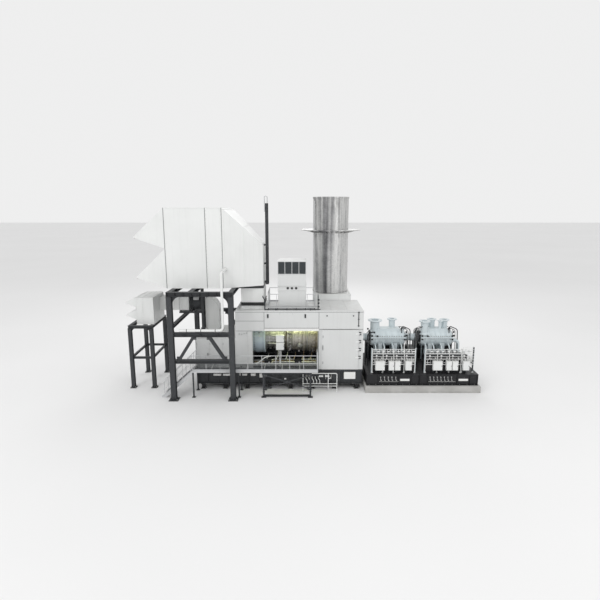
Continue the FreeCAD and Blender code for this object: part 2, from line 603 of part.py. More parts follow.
def vent_filter():
    """Small filter for the enclosure's air on its own frame, with duct, fan and fan platform."""
    node("vent_filter_box", block((S.vent_left, S.vent_right), (-S.vent_half, S.vent_half),
                                  (S.vent_floor, S.vent_roof)))
    hoods = []
    for top in (S.vent_roof, S.vent_roof - S.vent_hood_pitch):
        hoods += hood(top, top - S.vent_hood_tall, S.vent_left, S.vent_hood_reach, S.vent_hood_drop,
                      S.vent_sheet, S.vent_half)
    node("vent_hoods", group(hoods))
    legs, beams = [], []
    top_foot = S.vent_floor - S.vent_beam_deep
    half_leg = S.vent_leg_size / 2
    for along in (S.vent_leg_left, S.vent_leg_right):
        for side in SIDES:
            legs.append(block(about(along, S.vent_leg_size), about(side * S.vent_leg_half, S.vent_leg_size),
                              (S.plate_thick, top_foot)))
        reach = S.vent_leg_half - half_leg - S.gap
        beams.append(block(about(along, S.vent_leg_size), (-reach, reach), (top_foot, S.vent_floor)))
        beams.append(block(about(along, S.vent_brace_wide), (-reach, reach),
                           about(S.vent_brace_height, S.vent_brace_deep)))
    for side in SIDES:
        across = about(side * S.vent_leg_half, S.vent_leg_size)
        beams.append(block((S.vent_leg_left - half_leg, S.vent_leg_right + half_leg), across,
                           (top_foot, S.vent_floor)))
        beams.append(block((S.vent_leg_left + half_leg, S.vent_leg_right - half_leg),
                           about(side * S.vent_leg_half, S.vent_brace_wide),
                           about(S.vent_brace_height, S.vent_brace_deep)))
    node("vent_frame_legs", group(legs))
    node("vent_frame_beams", group(beams))
    size = S.air_duct_size
    across = about(S.air_duct_across, size)
    top = S.air_duct_bottom + size
    straight = block((S.vent_right, S.fan_left), across, (S.air_duct_bottom, top))
    drop = block((S.fan_right, S.fan_right + size), across, (S.aux_roof, S.air_duct_bottom))
    bend = place(solid("Part::Cylinder", Radius=size, Height=size, Angle=90), S.fan_right, across[1],
                 S.air_duct_bottom, FreeCAD.Rotation(FreeCAD.Vector(1, 0, 0), 90))
    node("vent_duct", group([straight, fuse([drop, bend])]))
    proud = S.fan_proud
    node("vent_fan", block((S.fan_left, S.fan_right), (across[0] - proud, across[1] + proud),
                           (S.fan_deck_top, top + proud)))
    under = S.fan_deck_top - S.fan_deck_thick
    deck = [block((S.fan_deck_left, S.fan_right - S.gap), (S.fan_deck_front, across[1] + S.fan_deck_beyond),
                  (under, S.fan_deck_top))]
    for number, post_across in enumerate(across):
        right = S.fan_right - S.fan_post_inset + S.fan_post_step * number
        deck.append(block((right - S.fan_post, right), about(post_across, S.fan_post),
                          (S.aux_roof, under - S.gap)))
    node("fan_platform", group(deck))


# ---------------------------------------------------------------------------------------------- exhaust

def exhaust():
    """Side exhaust plenum on legs behind the package, its stack and the platform ring around the stack."""
    node("exhaust_plenum", block((S.plenum_left, S.plenum_right), (S.pack_half, S.plenum_back),
                                 (S.plenum_floor, S.plenum_top)))
    legs = []
    for along in (S.plenum_left + S.plenum_leg, S.plenum_right - S.plenum_leg):
        for across in (S.pack_half + S.plenum_leg, S.plenum_back - S.plenum_leg):
            legs.append(block(about(along, S.plenum_leg), about(across, S.plenum_leg),
                              (sized(0), S.plenum_floor)))
    node("plenum_legs", group(legs))
    tall = S.stack_top - S.plenum_top
    outer = rod(S.stack_radius, tall, S.stack_along, S.stack_across, S.plenum_top)
    rim = rod(S.stack_radius + S.rim_proud, S.rim_rise, S.stack_along, S.stack_across, S.stack_top - S.rim_rise)
    bore = rod(S.stack_radius - S.stack_wall, tall + OVERRUN * 2, S.stack_along, S.stack_across,
               S.plenum_top - OVERRUN)
    node("exhaust_stack", cut(fuse([outer, rim]), bore))
    segments = []
    count = SIZES["ring_segments"]
    for number in range(count):
        turn = FreeCAD.Rotation(FreeCAD.Vector(0, 0, 1), 360 / count * number)
        sector = solid("Part::Cylinder", Radius=S.ring_radius, Height=S.ring_thick,
                       Angle=360 / S.ring_segments - S.ring_slit)
        place(sector, S.stack_along, S.stack_across, S.ring_height, turn)
        middle = rod(S.stack_radius + S.gap, S.ring_thick + OVERRUN * 2, S.stack_along, S.stack_across,
                     S.ring_height - OVERRUN)
        segments.append(cut(sector, middle))
    node("stack_platform", group(segments))


# ---------------------------------------------------------------------------------------------- access

def crossed_bars(left, right, foot, top, across, bar):
    """Crossed braces: one whole bar and two halves of the other that stop just short of it."""
    half = bar / 2
    gap = bar * 0.75
    middle = ((left + right) / 2, (foot + top) / 2)
    slope = (top - foot) / (right - left)
    whole = side_profile([(left, foot), (left + bar, foot), (right, top), (right - bar, top)], bar, across)
    halves = []
    for corner, lean in (((left, top), 1), ((right, foot), -1)):
        near = (middle[0] - lean * gap * 1.7, middle[1] + lean * gap * 1.7 * slope)
        edge = (corner[0] + lean * bar, corner[1])
        end = ((near[0] + lean * half, near[1]), (near[0] - lean * half, near[1]))
        halves.append(side_profile([corner, edge, *end], bar, across))
    return [whole] + halves


def walkway():
    """Raised walkway along the package front, its legs, braced stand, handrails and the entry stair."""
    under = S.walk_top - S.walk_thick
    front = -S.walk_front
    back = -S.walk_back
    node("walkway_deck", block((S.walk_left, S.walk_right), (front, back), (under, S.walk_top)))
    legs = []
    near_bay = back - S.walk_leg_back
    for along, across in ((S.walk_left + S.walk_leg_inset, front + S.walk_leg_inset),
                          (S.walk_left + S.walk_leg_inset, near_bay),
                          (S.walk_leg_middle, front + S.walk_leg_inset), (S.walk_leg_middle, near_bay),
                          (S.stand_left, near_bay), (S.stand_right, near_bay)):
        legs.append(block(about(along, S.walk_leg), about(across, S.walk_leg), (sized(0), under)))
    node("walkway_legs", group(legs))
    bar = S.stand_bar
    stand_across = about(front + bar / 2 + S.stand_back, bar)
    inner = (S.stand_left + bar / 2 + S.gap, S.stand_right - bar / 2 - S.gap)
    stand = [block(about(along, bar), stand_across, (sized(0), under))
             for along in (S.stand_left, S.stand_right)]
    stand.append(block(inner, stand_across, (S.stand_foot, S.stand_foot + bar)))
    stand.append(block(inner, stand_across, (under - bar, under)))
    stand += crossed_bars(inner[0] + S.gap, inner[1] - S.gap, S.stand_foot + bar + S.gap, under - bar - S.gap,
                          stand_across[0] + bar / 2, bar * 0.6)
    node("walkway_stand", group(stand))
    rail = S.rail_size
    stair_top = front + S.stair_wide
    rails = [
        wall_rail((S.walk_left, S.walk_right - rail - S.gap), (front, front + rail), S.walk_top, 10),
        wall_rail((S.walk_right - rail, S.walk_right), (front, back), S.walk_top, 3),
        wall_rail((S.walk_left, S.walk_left + rail), (stair_top + S.landing_inset, back), S.walk_top, 2),
    ]
    foot_along = S.walk_left - S.stair_reach
    head_along = S.walk_left - OVERRUN
    foot_rail = foot_along + S.landing_inset
    slanted = rail * 1.4
    for across in (front + rail / 2, stair_top - rail / 2 + S.nosing):
        for share in (0.5, 1.0):
            lift = S.rail_tall * share
            bar_top = S.walk_top + lift
            corners = [(head_along, bar_top), (head_along, bar_top - slanted), (foot_rail, lift - slanted),
                       (foot_rail, lift)]
            rails.append(side_profile(corners, rail, across))
    node("walkway_rails", group(rails))
    steps = []
    stringer_along = (foot_along, S.walk_left - S.gap)
    for across in (front + S.stringer_thick / 2, stair_top - S.stringer_thick / 2):
        corners = [(stringer_along[0], sized(0)), (stringer_along[0] + S.stringer_deep, sized(0)),
                   (stringer_along[1], S.walk_top - S.stringer_deep * 1.1), (stringer_along[1], S.walk_top),
                   (stringer_along[1] - S.landing_inset, S.walk_top), (stringer_along[0], S.stringer_toe)]
        steps.append(side_profile(corners, S.stringer_thick, across))
    for number in range(1, SIZES["stair_rises"]):
        top = S.walk_top - S.walk_top * number / S.stair_rises
        nose = S.walk_left - S.stair_reach * number / S.stair_rises
        side = S.stringer_thick + S.tread_gap
        steps.append(block((nose - S.nosing, nose - S.nosing + S.tread_deep), (front + side, stair_top - side),
                           (top - S.tread_thick, top)))
    node("entry_stair", group(steps))


def rails_and_rack():
    """Handrails on the roof around the tower, and the low pipe rack beside the door."""
    rail = S.rail_size
    back = (S.roof_rail_back, S.roof_rail_back + rail)
    roof_rails = [wall_rail((S.roof_rail_left, S.roof_rail_right), back, S.pack_roof, 4)]
    for along in (S.roof_rail_left, S.roof_rail_right - rail):
        roof_rails.append(wall_rail((along, along + rail), (S.roof_rail_front, back[0] - S.gap),
                                    S.pack_roof, 3))
    node("roof_rails", group(roof_rails))
    across = -S.rack_across
    pieces = []
    for share in (0, 0.5, 1):
        post_along = S.rack_left + (S.rack_right - S.rack_left) * share
        pieces.append(rod(S.rack_pipe, S.rack_top, post_along, across, sized(0)))
    for share in (0.45, 0.72, 1):
        pieces.append(rod(S.rack_pipe, S.rack_right - S.rack_left, S.rack_left, across,
                          S.rack_top * share - S.rack_pipe, ALONG))
    node("pipe_rack", fuse(pieces))


# ---------------------------------------------------------------------------------------------- compressors

def nozzle(along, across, neck, flange):
    """Upright flanged branch that starts on the casing's round top."""
    foot = S.shaft_height
    pieces = [rod(neck, S.nozzle_top - foot, along, across, foot),
              rod(flange, S.nozzle_flange, along, across, S.nozzle_top - S.nozzle_flange)]
    start = along - flange
    return cut(fuse(pieces), rod(S.casing_radius, flange * 2, start, sized(0), S.shaft_height, ALONG))


def compressor(label, left, right):
    """Barrel casing with a smaller bearing cover at each end."""
    long = right - left
    reach = S.cover_long
    points = [(-reach, 0), (long + reach, 0), (long + reach, S.cover_radius), (long, S.cover_radius),
              (long, S.casing_radius), (0, S.casing_radius), (0, S.cover_radius), (-reach, S.cover_radius)]
    return node(label, turned(points, left))


def rig(left, right):
    """Front rack of posts and level pipes for a compressor's instruments."""
    across = -S.rig_across
    pieces = []
    count = 5
    for number in range(count):
        along = left + (right - left) * number / (count - 1)
        pieces.append(rod(S.rig_pipe, S.rig_top - S.base_top, along, across, S.base_top))
    levels = 4
    for number in range(levels):
        pieces.append(rod(S.rig_pipe, right - left, left, across, S.rig_low + S.rig_pitch * number, ALONG))
    return fuse(pieces)


def compressors():
    """Two compressors in line on black steel bases, with nozzles, guards and instrument racks."""
    node("compressor_plinth", block((S.plinth_left, S.plinth_right), (-S.plinth_half, S.plinth_half),
                                    (sized(0), S.plinth_top)))
    bases = [block((left, right), (-S.base_half, S.base_half), (S.plinth_top, S.base_top))
             for left, right in ((S.first_left, S.first_right), (S.second_left, S.second_right))]
    node("compressor_bases", group(bases))
    units = (("first_compressor", S.first_casing_left, S.first_casing_right),
             ("second_compressor", S.second_casing_left, S.second_casing_right))
    pedestals, nozzles, guards = [], [], []
    for label, left, right in units:
        compressor(label, left, right)
        for along in (left + S.pedestal_inset, right - S.pedestal_inset):
            span = about(along, S.pedestal_long)
            seat = block(span, (-S.pedestal_half, S.pedestal_half),
                         (S.base_top, S.shaft_height - S.pedestal_drop))
            round_cut = rod(S.casing_radius + S.pedestal_gap, S.pedestal_long + OVERRUN * 2, span[0] - OVERRUN,
                            sized(0), S.shaft_height, ALONG)
            pedestals.append(cut(seat, round_cut))
    node("compressor_pedestals", group(pedestals))
    for name in BRANCHES:
        nozzles.append(nozzle(*[size_of(f"{name}_{what}") for what in ("along", "across", "neck", "flange")]))
    node("compressor_nozzles", group(nozzles))
    for left, right in ((S.pack_right, S.first_casing_left - S.cover_long),
                        (S.first_casing_right + S.cover_long, S.second_casing_left - S.cover_long)):
        guards.append(rod(S.guard_radius, right - left, left, sized(0), S.shaft_height, ALONG))
    node("coupling_guards", group(guards))
    racks = [rig(left + S.rig_left, right - S.rig_right)
             for left, right in ((S.first_left, S.first_right), (S.second_left, S.second_right))]
    node("instrument_racks", group(racks))
    boxes = []
    front = -S.rig_across - S.rig_pipe - S.box_gap
    foot = S.base_top + S.box_foot
    for start in (S.first_boxes, S.second_boxes):
        for name in BOXES:
            left = start + size_of(f"{name}_offset")
            boxes.append(block((left, left + size_of(f"{name}_wide")), (front - S.box_deep, front),
                               (foot, foot + S.box_tall)))
    node("instrument_boxes", group(boxes))


for build in (package_base, enclosure, exhaust_door, turbine, air_intake, filter_frame, bleed_pipe, vent_tower,
              vent_filter, exhaust, walkway, rails_and_rack, compressors):
    build()
doc.recompute()

for item in doc.Objects:
    if "Invalid" in item.State or "Error" in item.State:
        raise RuntimeError(f"{item.Label} failed: {item.State}")
for item in nodes:
    if item.Shape.isNull() or not item.Shape.isValid():
        raise RuntimeError(f"{item.Label} has no valid shape")

os.makedirs("parts", exist_ok=True)
for item in nodes:
    item.Shape.exportStep(f"parts/{item.Label}.step")
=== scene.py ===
import math

import bmesh
import bpy
from mathutils import Matrix, Vector


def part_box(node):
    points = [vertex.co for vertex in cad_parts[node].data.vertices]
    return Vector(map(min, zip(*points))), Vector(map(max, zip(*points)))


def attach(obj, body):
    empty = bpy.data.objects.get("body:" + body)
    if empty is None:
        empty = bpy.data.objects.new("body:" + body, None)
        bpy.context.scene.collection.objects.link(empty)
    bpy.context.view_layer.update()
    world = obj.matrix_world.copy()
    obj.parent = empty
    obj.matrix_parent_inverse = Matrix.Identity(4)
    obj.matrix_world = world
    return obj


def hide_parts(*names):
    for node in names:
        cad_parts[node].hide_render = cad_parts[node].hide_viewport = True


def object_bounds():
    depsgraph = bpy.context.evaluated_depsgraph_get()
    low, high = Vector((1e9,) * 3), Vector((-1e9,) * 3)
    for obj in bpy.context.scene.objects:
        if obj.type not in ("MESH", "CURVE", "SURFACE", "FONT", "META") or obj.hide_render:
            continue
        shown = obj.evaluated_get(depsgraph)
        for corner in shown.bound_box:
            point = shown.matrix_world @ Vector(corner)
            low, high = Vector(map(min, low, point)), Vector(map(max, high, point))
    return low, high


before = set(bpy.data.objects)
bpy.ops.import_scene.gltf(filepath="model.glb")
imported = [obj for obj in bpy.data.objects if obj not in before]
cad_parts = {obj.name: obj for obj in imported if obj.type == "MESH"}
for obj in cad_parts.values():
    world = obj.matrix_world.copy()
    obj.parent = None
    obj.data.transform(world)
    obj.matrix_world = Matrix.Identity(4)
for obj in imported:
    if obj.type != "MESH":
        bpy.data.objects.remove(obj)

cad_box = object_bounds()
SHARP = math.radians(32)


def at(x, y, z):
    return Vector((x, y, z))


ALONG, ACROSS, UP = at(1, 0, 0), at(0, 1, 0), at(0, 0, 1)


# ------------------------------------------------------------------------------------ shader arithmetic

class Wire:
    """A shader socket that takes part in arithmetic."""

    def __init__(self, paint, socket):
        self.paint = paint
        self.socket = socket

    def join(self, operation, first, second=0.0, third=0.0):
        return self.paint.node("Math", {"operation": operation}, {0: first, 1: second, 2: third})

    def __add__(self, other):
        return self.join("ADD", self, other)

    def __radd__(self, other):
        return self.join("ADD", other, self)

    def __sub__(self, other):
        return self.join("SUBTRACT", self, other)

    def __rsub__(self, other):
        return self.join("SUBTRACT", other, self)

    def __mul__(self, other):
        return self.join("MULTIPLY", self, other)

    def __rmul__(self, other):
        return self.join("MULTIPLY", other, self)

    def __truediv__(self, other):
        return self.join("DIVIDE", self, other)

    def __rtruediv__(self, other):
        return self.join("DIVIDE", other, self)

    def __pow__(self, other):
        return self.join("POWER", self, other)

    def sine(self):
        return self.join("SINE", self)

    def cosine(self):
        return self.join("COSINE", self)

    def clipped(self):
        return self.paint.node("Clamp", {}, {"Value": self})

    def rising(self, low, high):
        """0 below low, 1 above high, and even between."""
        return ((self - low) / (high - low)).clipped()


class Paint:
    """A material in the making."""

    def __init__(self, name):
        self.material = bpy.data.materials.new(name)
        self.material.use_nodes = True
        self.tree = self.material.node_tree
        self.shader = self.tree.nodes["Principled BSDF"]
        self.place = self.node("TexCoord", {}, {}, "Object")

    def node(self, kind, settings, sockets, output=0):
        made = self.tree.nodes.new("ShaderNode" + kind)
        for name, value in settings.items():
            if name == "stops":
                ramp = made.color_ramp
                while len(ramp.elements) < len(value):
                    ramp.elements.new(0.5)
                for stop, (position, colour) in zip(ramp.elements, value):
                    stop.position = position
                    stop.color = (*colour, 1)
            else:
                setattr(made, name, value)
        for name, value in sockets.items():
            self.feed(made.inputs[name], value)
        return Wire(self, made.outputs[output])

    def feed(self, socket, value):
        if isinstance(value, Wire):
            self.tree.links.new(value.socket, socket)
        elif socket.type == "RGBA" and len(value) == 3:
            socket.default_value = (*value, 1)
        else:
            socket.default_value = value

    def noise(self, scale, detail=4.0, stretch=(1, 1, 1), roughness=0.55):
        spot = self.node("VectorMath", {"operation": "MULTIPLY"}, {0: self.place, 1: stretch})
        sockets = {"Vector": spot, "Scale": scale, "Detail": detail, "Roughness": roughness}
        return self.node("TexNoise", {}, sockets, "Fac")

    def axis(self, name):
        return self.node("SeparateXYZ", {}, {0: self.place}, name)

    def facing_up(self):
        """1 on surfaces that face straight up."""
        return self.node("SeparateXYZ", {}, {0: self.node("NewGeometry", {}, {}, "Normal")}, "Z")

    def blend(self, first, second, share):
        sockets = {"Factor": share, 6: first, 7: second}
        return self.node("Mix", {"data_type": "RGBA"}, sockets, 2)

    def bumped(self, height, strength, distance=0.01):
        self.set(Normal=self.node("Bump", {}, {"Height": height, "Strength": strength,
                "Distance": distance}))

    def set(self, **values):
        for name, value in values.items():
            self.feed(self.shader.inputs[name.replace("_", " ")], value)


def house_paint(name, colour, grime, streak):
    """Panel paint with faint mottling, rain streaks and dust on top faces."""
    paint = Paint(name)
    cloud = paint.noise(0.55, 5)
    rain = paint.noise(1.0, 6, (5.5, 5.5, 0.35))
    marks = (cloud.rising(0.35, 0.75) * 0.4 + rain.rising(0.5, 0.95) * streak).clipped()
    dust = paint.facing_up().rising(0.7, 1.0) * paint.noise(2.2).rising(0.35, 0.7) * 0.35
    shade = paint.blend(colour, grime, marks * 0.4)
    paint.set(Base_Color=paint.blend(shade, (0.55, 0.54, 0.51), dust))
    paint.set(Roughness=0.36 + cloud * 0.22 + dust * 0.2, Coat_Weight=0.12 - marks * 0.1)
    paint.bumped(paint.noise(26, 3) + paint.noise(3.1, 2) * 0.7, 0.12)
    return paint.material


def frame_paint(name, colour, worn, shine=0.34):
    """Dark structural paint: tops dusty, with a few scuffs."""
    paint = Paint(name)
    scuffs = paint.noise(9, 8, (1, 1, 0.5)).rising(0.6, 0.74)
    dust = paint.facing_up().rising(0.75, 1.0) * paint.noise(3.0).rising(0.3, 0.75)
    shade = paint.blend(colour, worn, scuffs * 0.35 + dust * 0.3)
    paint.set(Base_Color=shade, Roughness=shine + paint.noise(5) * 0.25 + dust * 0.2,
            Metallic=0.15 - dust * 0.1)
    paint.bumped(paint.noise(60, 4), 0.1, 0.004)
    return paint.material


def stack_steel(name, centre):
    """Galvanised plate: painted reflections as upright light and dark bands round the shell, spangle, and
    smoky streaks from the rim.
    """
    paint = Paint(name)
    apart = paint.node("VectorMath", {"operation": "SUBTRACT"}, {0: paint.place, 1: centre})
    turn = paint.node("Math", {"operation": "ARCTAN2"}, {0: paint.node("SeparateXYZ", {}, {0: apart}, "Y"),
            1: paint.node("SeparateXYZ", {}, {0: apart}, "X")})
    across, along = turn.cosine() * 2.0, turn.sine() * 2.0
    ring = paint.node("CombineXYZ", {}, {"X": across, "Y": along, "Z": paint.axis("Z") * 0.05})
    # light and dark bands round the shell: painted reflections of the surroundings
    painted_reflection_bands = paint.node("TexNoise", {}, {"Vector": ring, "Scale": 1.05, "Detail": 2.5, "Roughness": 0.55},
            "Fac")
    spangle = paint.node("TexVoronoi", {}, {"Vector": paint.place, "Scale": 16.0}, "Color")
    grain = paint.node("SeparateXYZ", {}, {0: spangle}, "X")
    # base colour mostly from the painted reflection bands, with a little spangle and noise
    painted_reflection_tone = paint.node("ValToRGB", {"stops": [(0.3, (0.12, 0.12, 0.125)), (0.44, (0.36, 0.36, 0.365)),
            (0.56, (0.66, 0.66, 0.65)), (0.7, (0.30, 0.30, 0.305))]},
            {"Fac": painted_reflection_bands + grain * 0.05 + paint.noise(1.1, 6) * 0.16 - 0.105})
    smoke = paint.axis("Z").rising(10.5, 13.8) * paint.noise(1.6, 5, (3, 3, 0.4)).rising(0.4, 0.7)
    paint.set(Base_Color=paint.blend(painted_reflection_tone, (0.10, 0.095, 0.09), smoke * 0.45), Metallic=0.85 - smoke * 0.4,
            Roughness=0.28 + painted_reflection_bands * 0.2 + smoke * 0.2)
    paint.bumped(grain * 0.3 + painted_reflection_bands, 0.08, 0.01)
    return paint.material


def casing_metal(name, cold, hot, start, end):
    """Machined casing metal that turns to heat-tinted bronze towards the hot end."""
    paint = Paint(name)
    heat = paint.axis("X").rising(start, end) * 0.75 + paint.noise(2.0, 5) * 0.3 - 0.1
    fine = paint.noise(18, 6, (0.4, 1, 1))
    shade = paint.blend(cold, hot, heat.clipped())
    paint.set(Base_Color=paint.blend(shade, (0.05, 0.05, 0.05), fine.rising(0.5, 0.8) * 0.55), Metallic=0.8,
            Roughness=0.3 + fine * 0.3)
    paint.bumped(fine + paint.noise(70, 3) * 0.4, 0.18, 0.006)
    return paint.material


def cast_concrete(name):
    paint = Paint(name)
    cloud = paint.noise(0.8, 7)
    pores = paint.node("TexVoronoi", {}, {"Vector": paint.place, "Scale": 22.0}, "Distance").rising(0.02,
            0.2)
    damp = (1 - paint.axis("Z").rising(0.0, 0.16)) * paint.noise(2.5).rising(0.3, 0.7)
    shade = paint.blend((0.36, 0.355, 0.34), (0.50, 0.495, 0.48), cloud.rising(0.3, 0.7))
    paint.set(Base_Color=paint.blend(shade, (0.2, 0.2, 0.19), damp * 0.6), Roughness=0.8 + pores * 0.12)
    paint.bumped(pores * 0.7 + paint.noise(40, 5) * 0.6, 0.3, 0.01)
    return paint.material


def bright_metal(name, colour, rough):
    paint = Paint(name)
    fine = paint.noise(35, 5)
    paint.set(Base_Color=paint.blend(colour, tuple(c * 0.45 for c in colour), fine.rising(0.45,
            0.75) * 0.6), Metallic=0.9, Roughness=rough + fine * 0.2)
    paint.bumped(fine, 0.12, 0.004)
    return paint.material


def rubber(name):
    paint = Paint(name)
    fine = paint.noise(28, 6)
    paint.set(Base_Color=paint.blend((0.018, 0.018, 0.018), (0.06, 0.058, 0.055), fine.rising(0.5, 0.8)),
            Roughness=0.62 + fine * 0.2)
    paint.bumped(fine, 0.25, 0.006)
    return paint.material


def lamp_glow(name, colour, strength):
    paint = Paint(name)
    even = paint.noise(6, 2) * 0.3 + 0.85
    paint.set(Base_Color=colour, Emission_Color=paint.blend((0, 0, 0), colour, even.clipped()),
            Emission_Strength=strength, Roughness=0.3)
    return paint.material


stack_low, stack_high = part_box("exhaust_stack")
hot_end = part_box("power_turbine_casing")[1].x
cold_low, cold_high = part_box("compressor_casing")
WHITE = house_paint("panel_white", (0.80, 0.81, 0.80), (0.50, 0.51, 0.50), 0.5)
ENCLOSURE = house_paint("enclosure_light_grey", (0.69, 0.70, 0.695), (0.46, 0.465, 0.46), 0.5)
SEAM = house_paint("panel_seam_grey", (0.52, 0.53, 0.53), (0.34, 0.34, 0.33), 0.4)
CHARCOAL = frame_paint("frame_charcoal", (0.040, 0.043, 0.047), (0.19, 0.19, 0.185))
BLACK = frame_paint("base_black", (0.012, 0.012, 0.014), (0.09, 0.09, 0.09), 0.28)
STACK = stack_steel("stack_galvanised", (stack_low + stack_high) / 2)
CASING = casing_metal("turbine_casing_metal", (0.46, 0.47, 0.48), (0.45, 0.395, 0.32), cold_low.x, hot_end)
INLET = house_paint("inlet_blue_grey", (0.46, 0.54, 0.60), (0.25, 0.28, 0.30), 0.3)
COMPRESSOR = house_paint("compressor_blue_grey", (0.62, 0.69, 0.715), (0.34, 0.37, 0.38), 0.5)
CONCRETE = cast_concrete("plinth_concrete")
RAIL = house_paint("rail_grey", (0.58, 0.59, 0.60), (0.35, 0.35, 0.35), 0.3)
GRATING = bright_metal("grating_steel", (0.34, 0.35, 0.36), 0.4)
LOUVRE = frame_paint("louvre_dark", (0.07, 0.08, 0.085), (0.22, 0.22, 0.22), 0.4)
STEEL = bright_metal("tube_steel", (0.62, 0.62, 0.61), 0.25)
COPPER = bright_metal("oil_pipe_bronze", (0.31, 0.235, 0.155), 0.35)
BOLT = bright_metal("bolt_zinc", (0.40, 0.40, 0.38), 0.35)
RUBBER = rubber("seal_and_cable_rubber")
LAMP = lamp_glow("bay_lamp", (0.85, 1.0, 0.45), 2.6)
JOINT = house_paint("joint_seal_grey", (0.17, 0.175, 0.18), (0.10, 0.10, 0.10), 0.2)
BLANK = house_paint("blank_plate", (0.86, 0.86, 0.84), (0.6, 0.6, 0.58), 0.1)


# ------------------------------------------------------------------------------------ shape making

class Piece:
    """A mesh in the making: shapes are added with a finish, then it rides on a body."""

    def __init__(self, name, finish):
        self.name = name
        self.finishes = [finish]
        self.mesh = bmesh.new()

    def face(self, corners, finish):
        """One face in a finish, or in the piece's first finish when none is given."""
        finish = finish or self.finishes[0]
        if finish not in self.finishes:
            self.finishes.append(finish)
        self.mesh.faces.new(corners).material_index = self.finishes.index(finish)

    def shell(self, points, loops, finish=None):
        spots = [self.mesh.verts.new(point) for point in points]
        for loop in loops:
            self.face([spots[index] for index in loop], finish)

    def prism(self, ring, reach, finish=None):
        """Solid swept from a closed ring of points along a vector."""
        count = len(ring)
        far = [point + reach for point in ring]
        sides = [(i, (i + 1) % count, count + (i + 1) % count, count + i) for i in range(count)]
        self.shell(ring + far, sides + [tuple(reversed(range(count))), tuple(range(count, 2 * count))],
                finish)

    def block(self, low, high, finish=None):
        ring = [at(x, y, low[2]) for x, y in outline(low, high)]
        self.prism(ring, UP * (high[2] - low[2]), finish)

    def about(self, centre, size, finish=None):
        centre, half = Vector(centre), Vector(size) / 2
        self.block(centre - half, centre + half, finish)

    def bar(self, start, end, wide, deep, finish=None, side=None):
        """Straight bar of rectangular section between two points."""
        start, end = Vector(start), Vector(end)
        run = (end - start).normalized()
        side = Vector(side) if side else (ACROSS if abs(run.y) < 0.9 else ALONG)
        cross = run.cross(side).normalized()
        side = cross.cross(run).normalized()
        corners = outline((-wide / 2, -deep / 2), (wide / 2, deep / 2))
        ring = [start + side * a + cross * b for a, b in corners]
        self.prism(ring, end - start, finish)

    def beam(self, start, end, wide, deep, tall, plate):
        """I-section between two points; tall is the direction of the web's height."""
        start, end = Vector(start), Vector(end)
        flat = (end - start).normalized().cross(tall).normalized()
        w, d, web = wide / 2, deep / 2, plate / 2
        inner = d - plate
        shape = [(-w, -d), (w, -d), (w, -inner), (web, -inner), (web, inner), (w, inner), (w, d), (-w, d),
                (-w, inner), (-web, inner), (-web, -inner), (-w, -inner)]
        self.prism([start + flat * a + tall * b for a, b in shape], end - start)

    def lathe(self, foot, axis, profile, finish=None, sides=32):
        """Solid turned about an axis from (distance, radius) points, closed on the axis or round a bore."""
        axis = Vector(axis).normalized()
        side, other = square_to(axis)
        foot = Vector(foot)
        rings = []
        for reach, radius in profile:
            middle = foot + axis * reach
            rings.append(self.circle(middle, side, other, radius, sides if radius else 1))
        pairs = list(zip(rings, rings[1:]))
        if len(rings[0]) > 1 and len(rings[-1]) > 1:
            pairs.append((rings[-1], rings[0]))
        for near, far in pairs:
            for k in range(sides):
                n = (k + 1) % sides
                corners = [near[k % len(near)], near[n % len(near)], far[n % len(far)], far[k % len(far)]]
                corners = list(dict.fromkeys(corners))
                if len(corners) > 2:
                    self.face(corners, finish)

    def circle(self, middle, side, other, radius, sides):
        turns = [math.tau * k / sides for k in range(sides)]
        return [self.mesh.verts.new(middle + (side * math.cos(turn) + other * math.sin(turn)) * radius)
                for turn in turns]

    def rod(self, start, end, radius, finish=None, sides=12):
        start, end = Vector(start), Vector(end)
        self.lathe(start, end - start, plug(radius, (end - start).length), finish, sides)

    def ring(self, centre, axis, inner, outer, thick, finish=None, sides=32):
        half = thick / 2
        self.lathe(centre, axis, [(-half, inner), (-half, outer), (half, outer), (half, inner)], finish,
                sides)

    def pipe(self, points, radius, finish=None, bend=0.15, sides=10):
        """Round tube along a route whose corners are bent."""
        route = bent([Vector(point) for point in points], bend)
        run = (route[1] - route[0]).normalized()
        side = run.cross(UP if abs(run.z) < 0.9 else ALONG).normalized()
        rings = []
        for number, spot in enumerate(route):
            ahead = route[min(number + 1, len(route) - 1)] - route[max(number - 1, 0)]
            ahead.normalize()
            side = (side - ahead * side.dot(ahead)).normalized()
            rings.append(self.circle(spot, side, ahead.cross(side), radius, sides))
        for near, far in zip(rings, rings[1:]):
            for k in range(sides):
                n = (k + 1) % sides
                self.face([near[k], near[n], far[n], far[k]], finish)
        self.face(list(reversed(rings[0])), finish)
        self.face(rings[-1], finish)

    def bolt(self, spot, axis, size, finish=BOLT):
        """Hexagon head standing on a surface, sunk a little into it."""
        axis = Vector(axis).normalized()
        sunk, proud, radius = 0.2, 0.9, 0.62
        foot = Vector(spot) - axis * size * sunk
        self.rod(foot, foot + axis * size * proud, size * radius, finish, 6)

    def bolt_corners(self, centre, along, across, size):
        """Four upright bolts about a foot plate's middle."""
        for dx in (-along, along):
            for dy in (-across, across):
                self.bolt(Vector(centre) + at(dx, dy, 0), UP, size)

    def bolt_ring(self, centre, axis, radius, count, size):
        axis = Vector(axis).normalized()
        side, other = square_to(axis)
        for k in range(count):
            turn = math.tau * (k + 0.5) / count
            spot = Vector(centre) + (side * math.cos(turn) + other * math.sin(turn)) * radius
            self.bolt(spot, axis, size)

    def bolt_row(self, start, end, count, axis, size):
        start, end = Vector(start), Vector(end)
        for k in range(count):
            self.bolt(start.lerp(end, k / (count - 1)), axis, size)

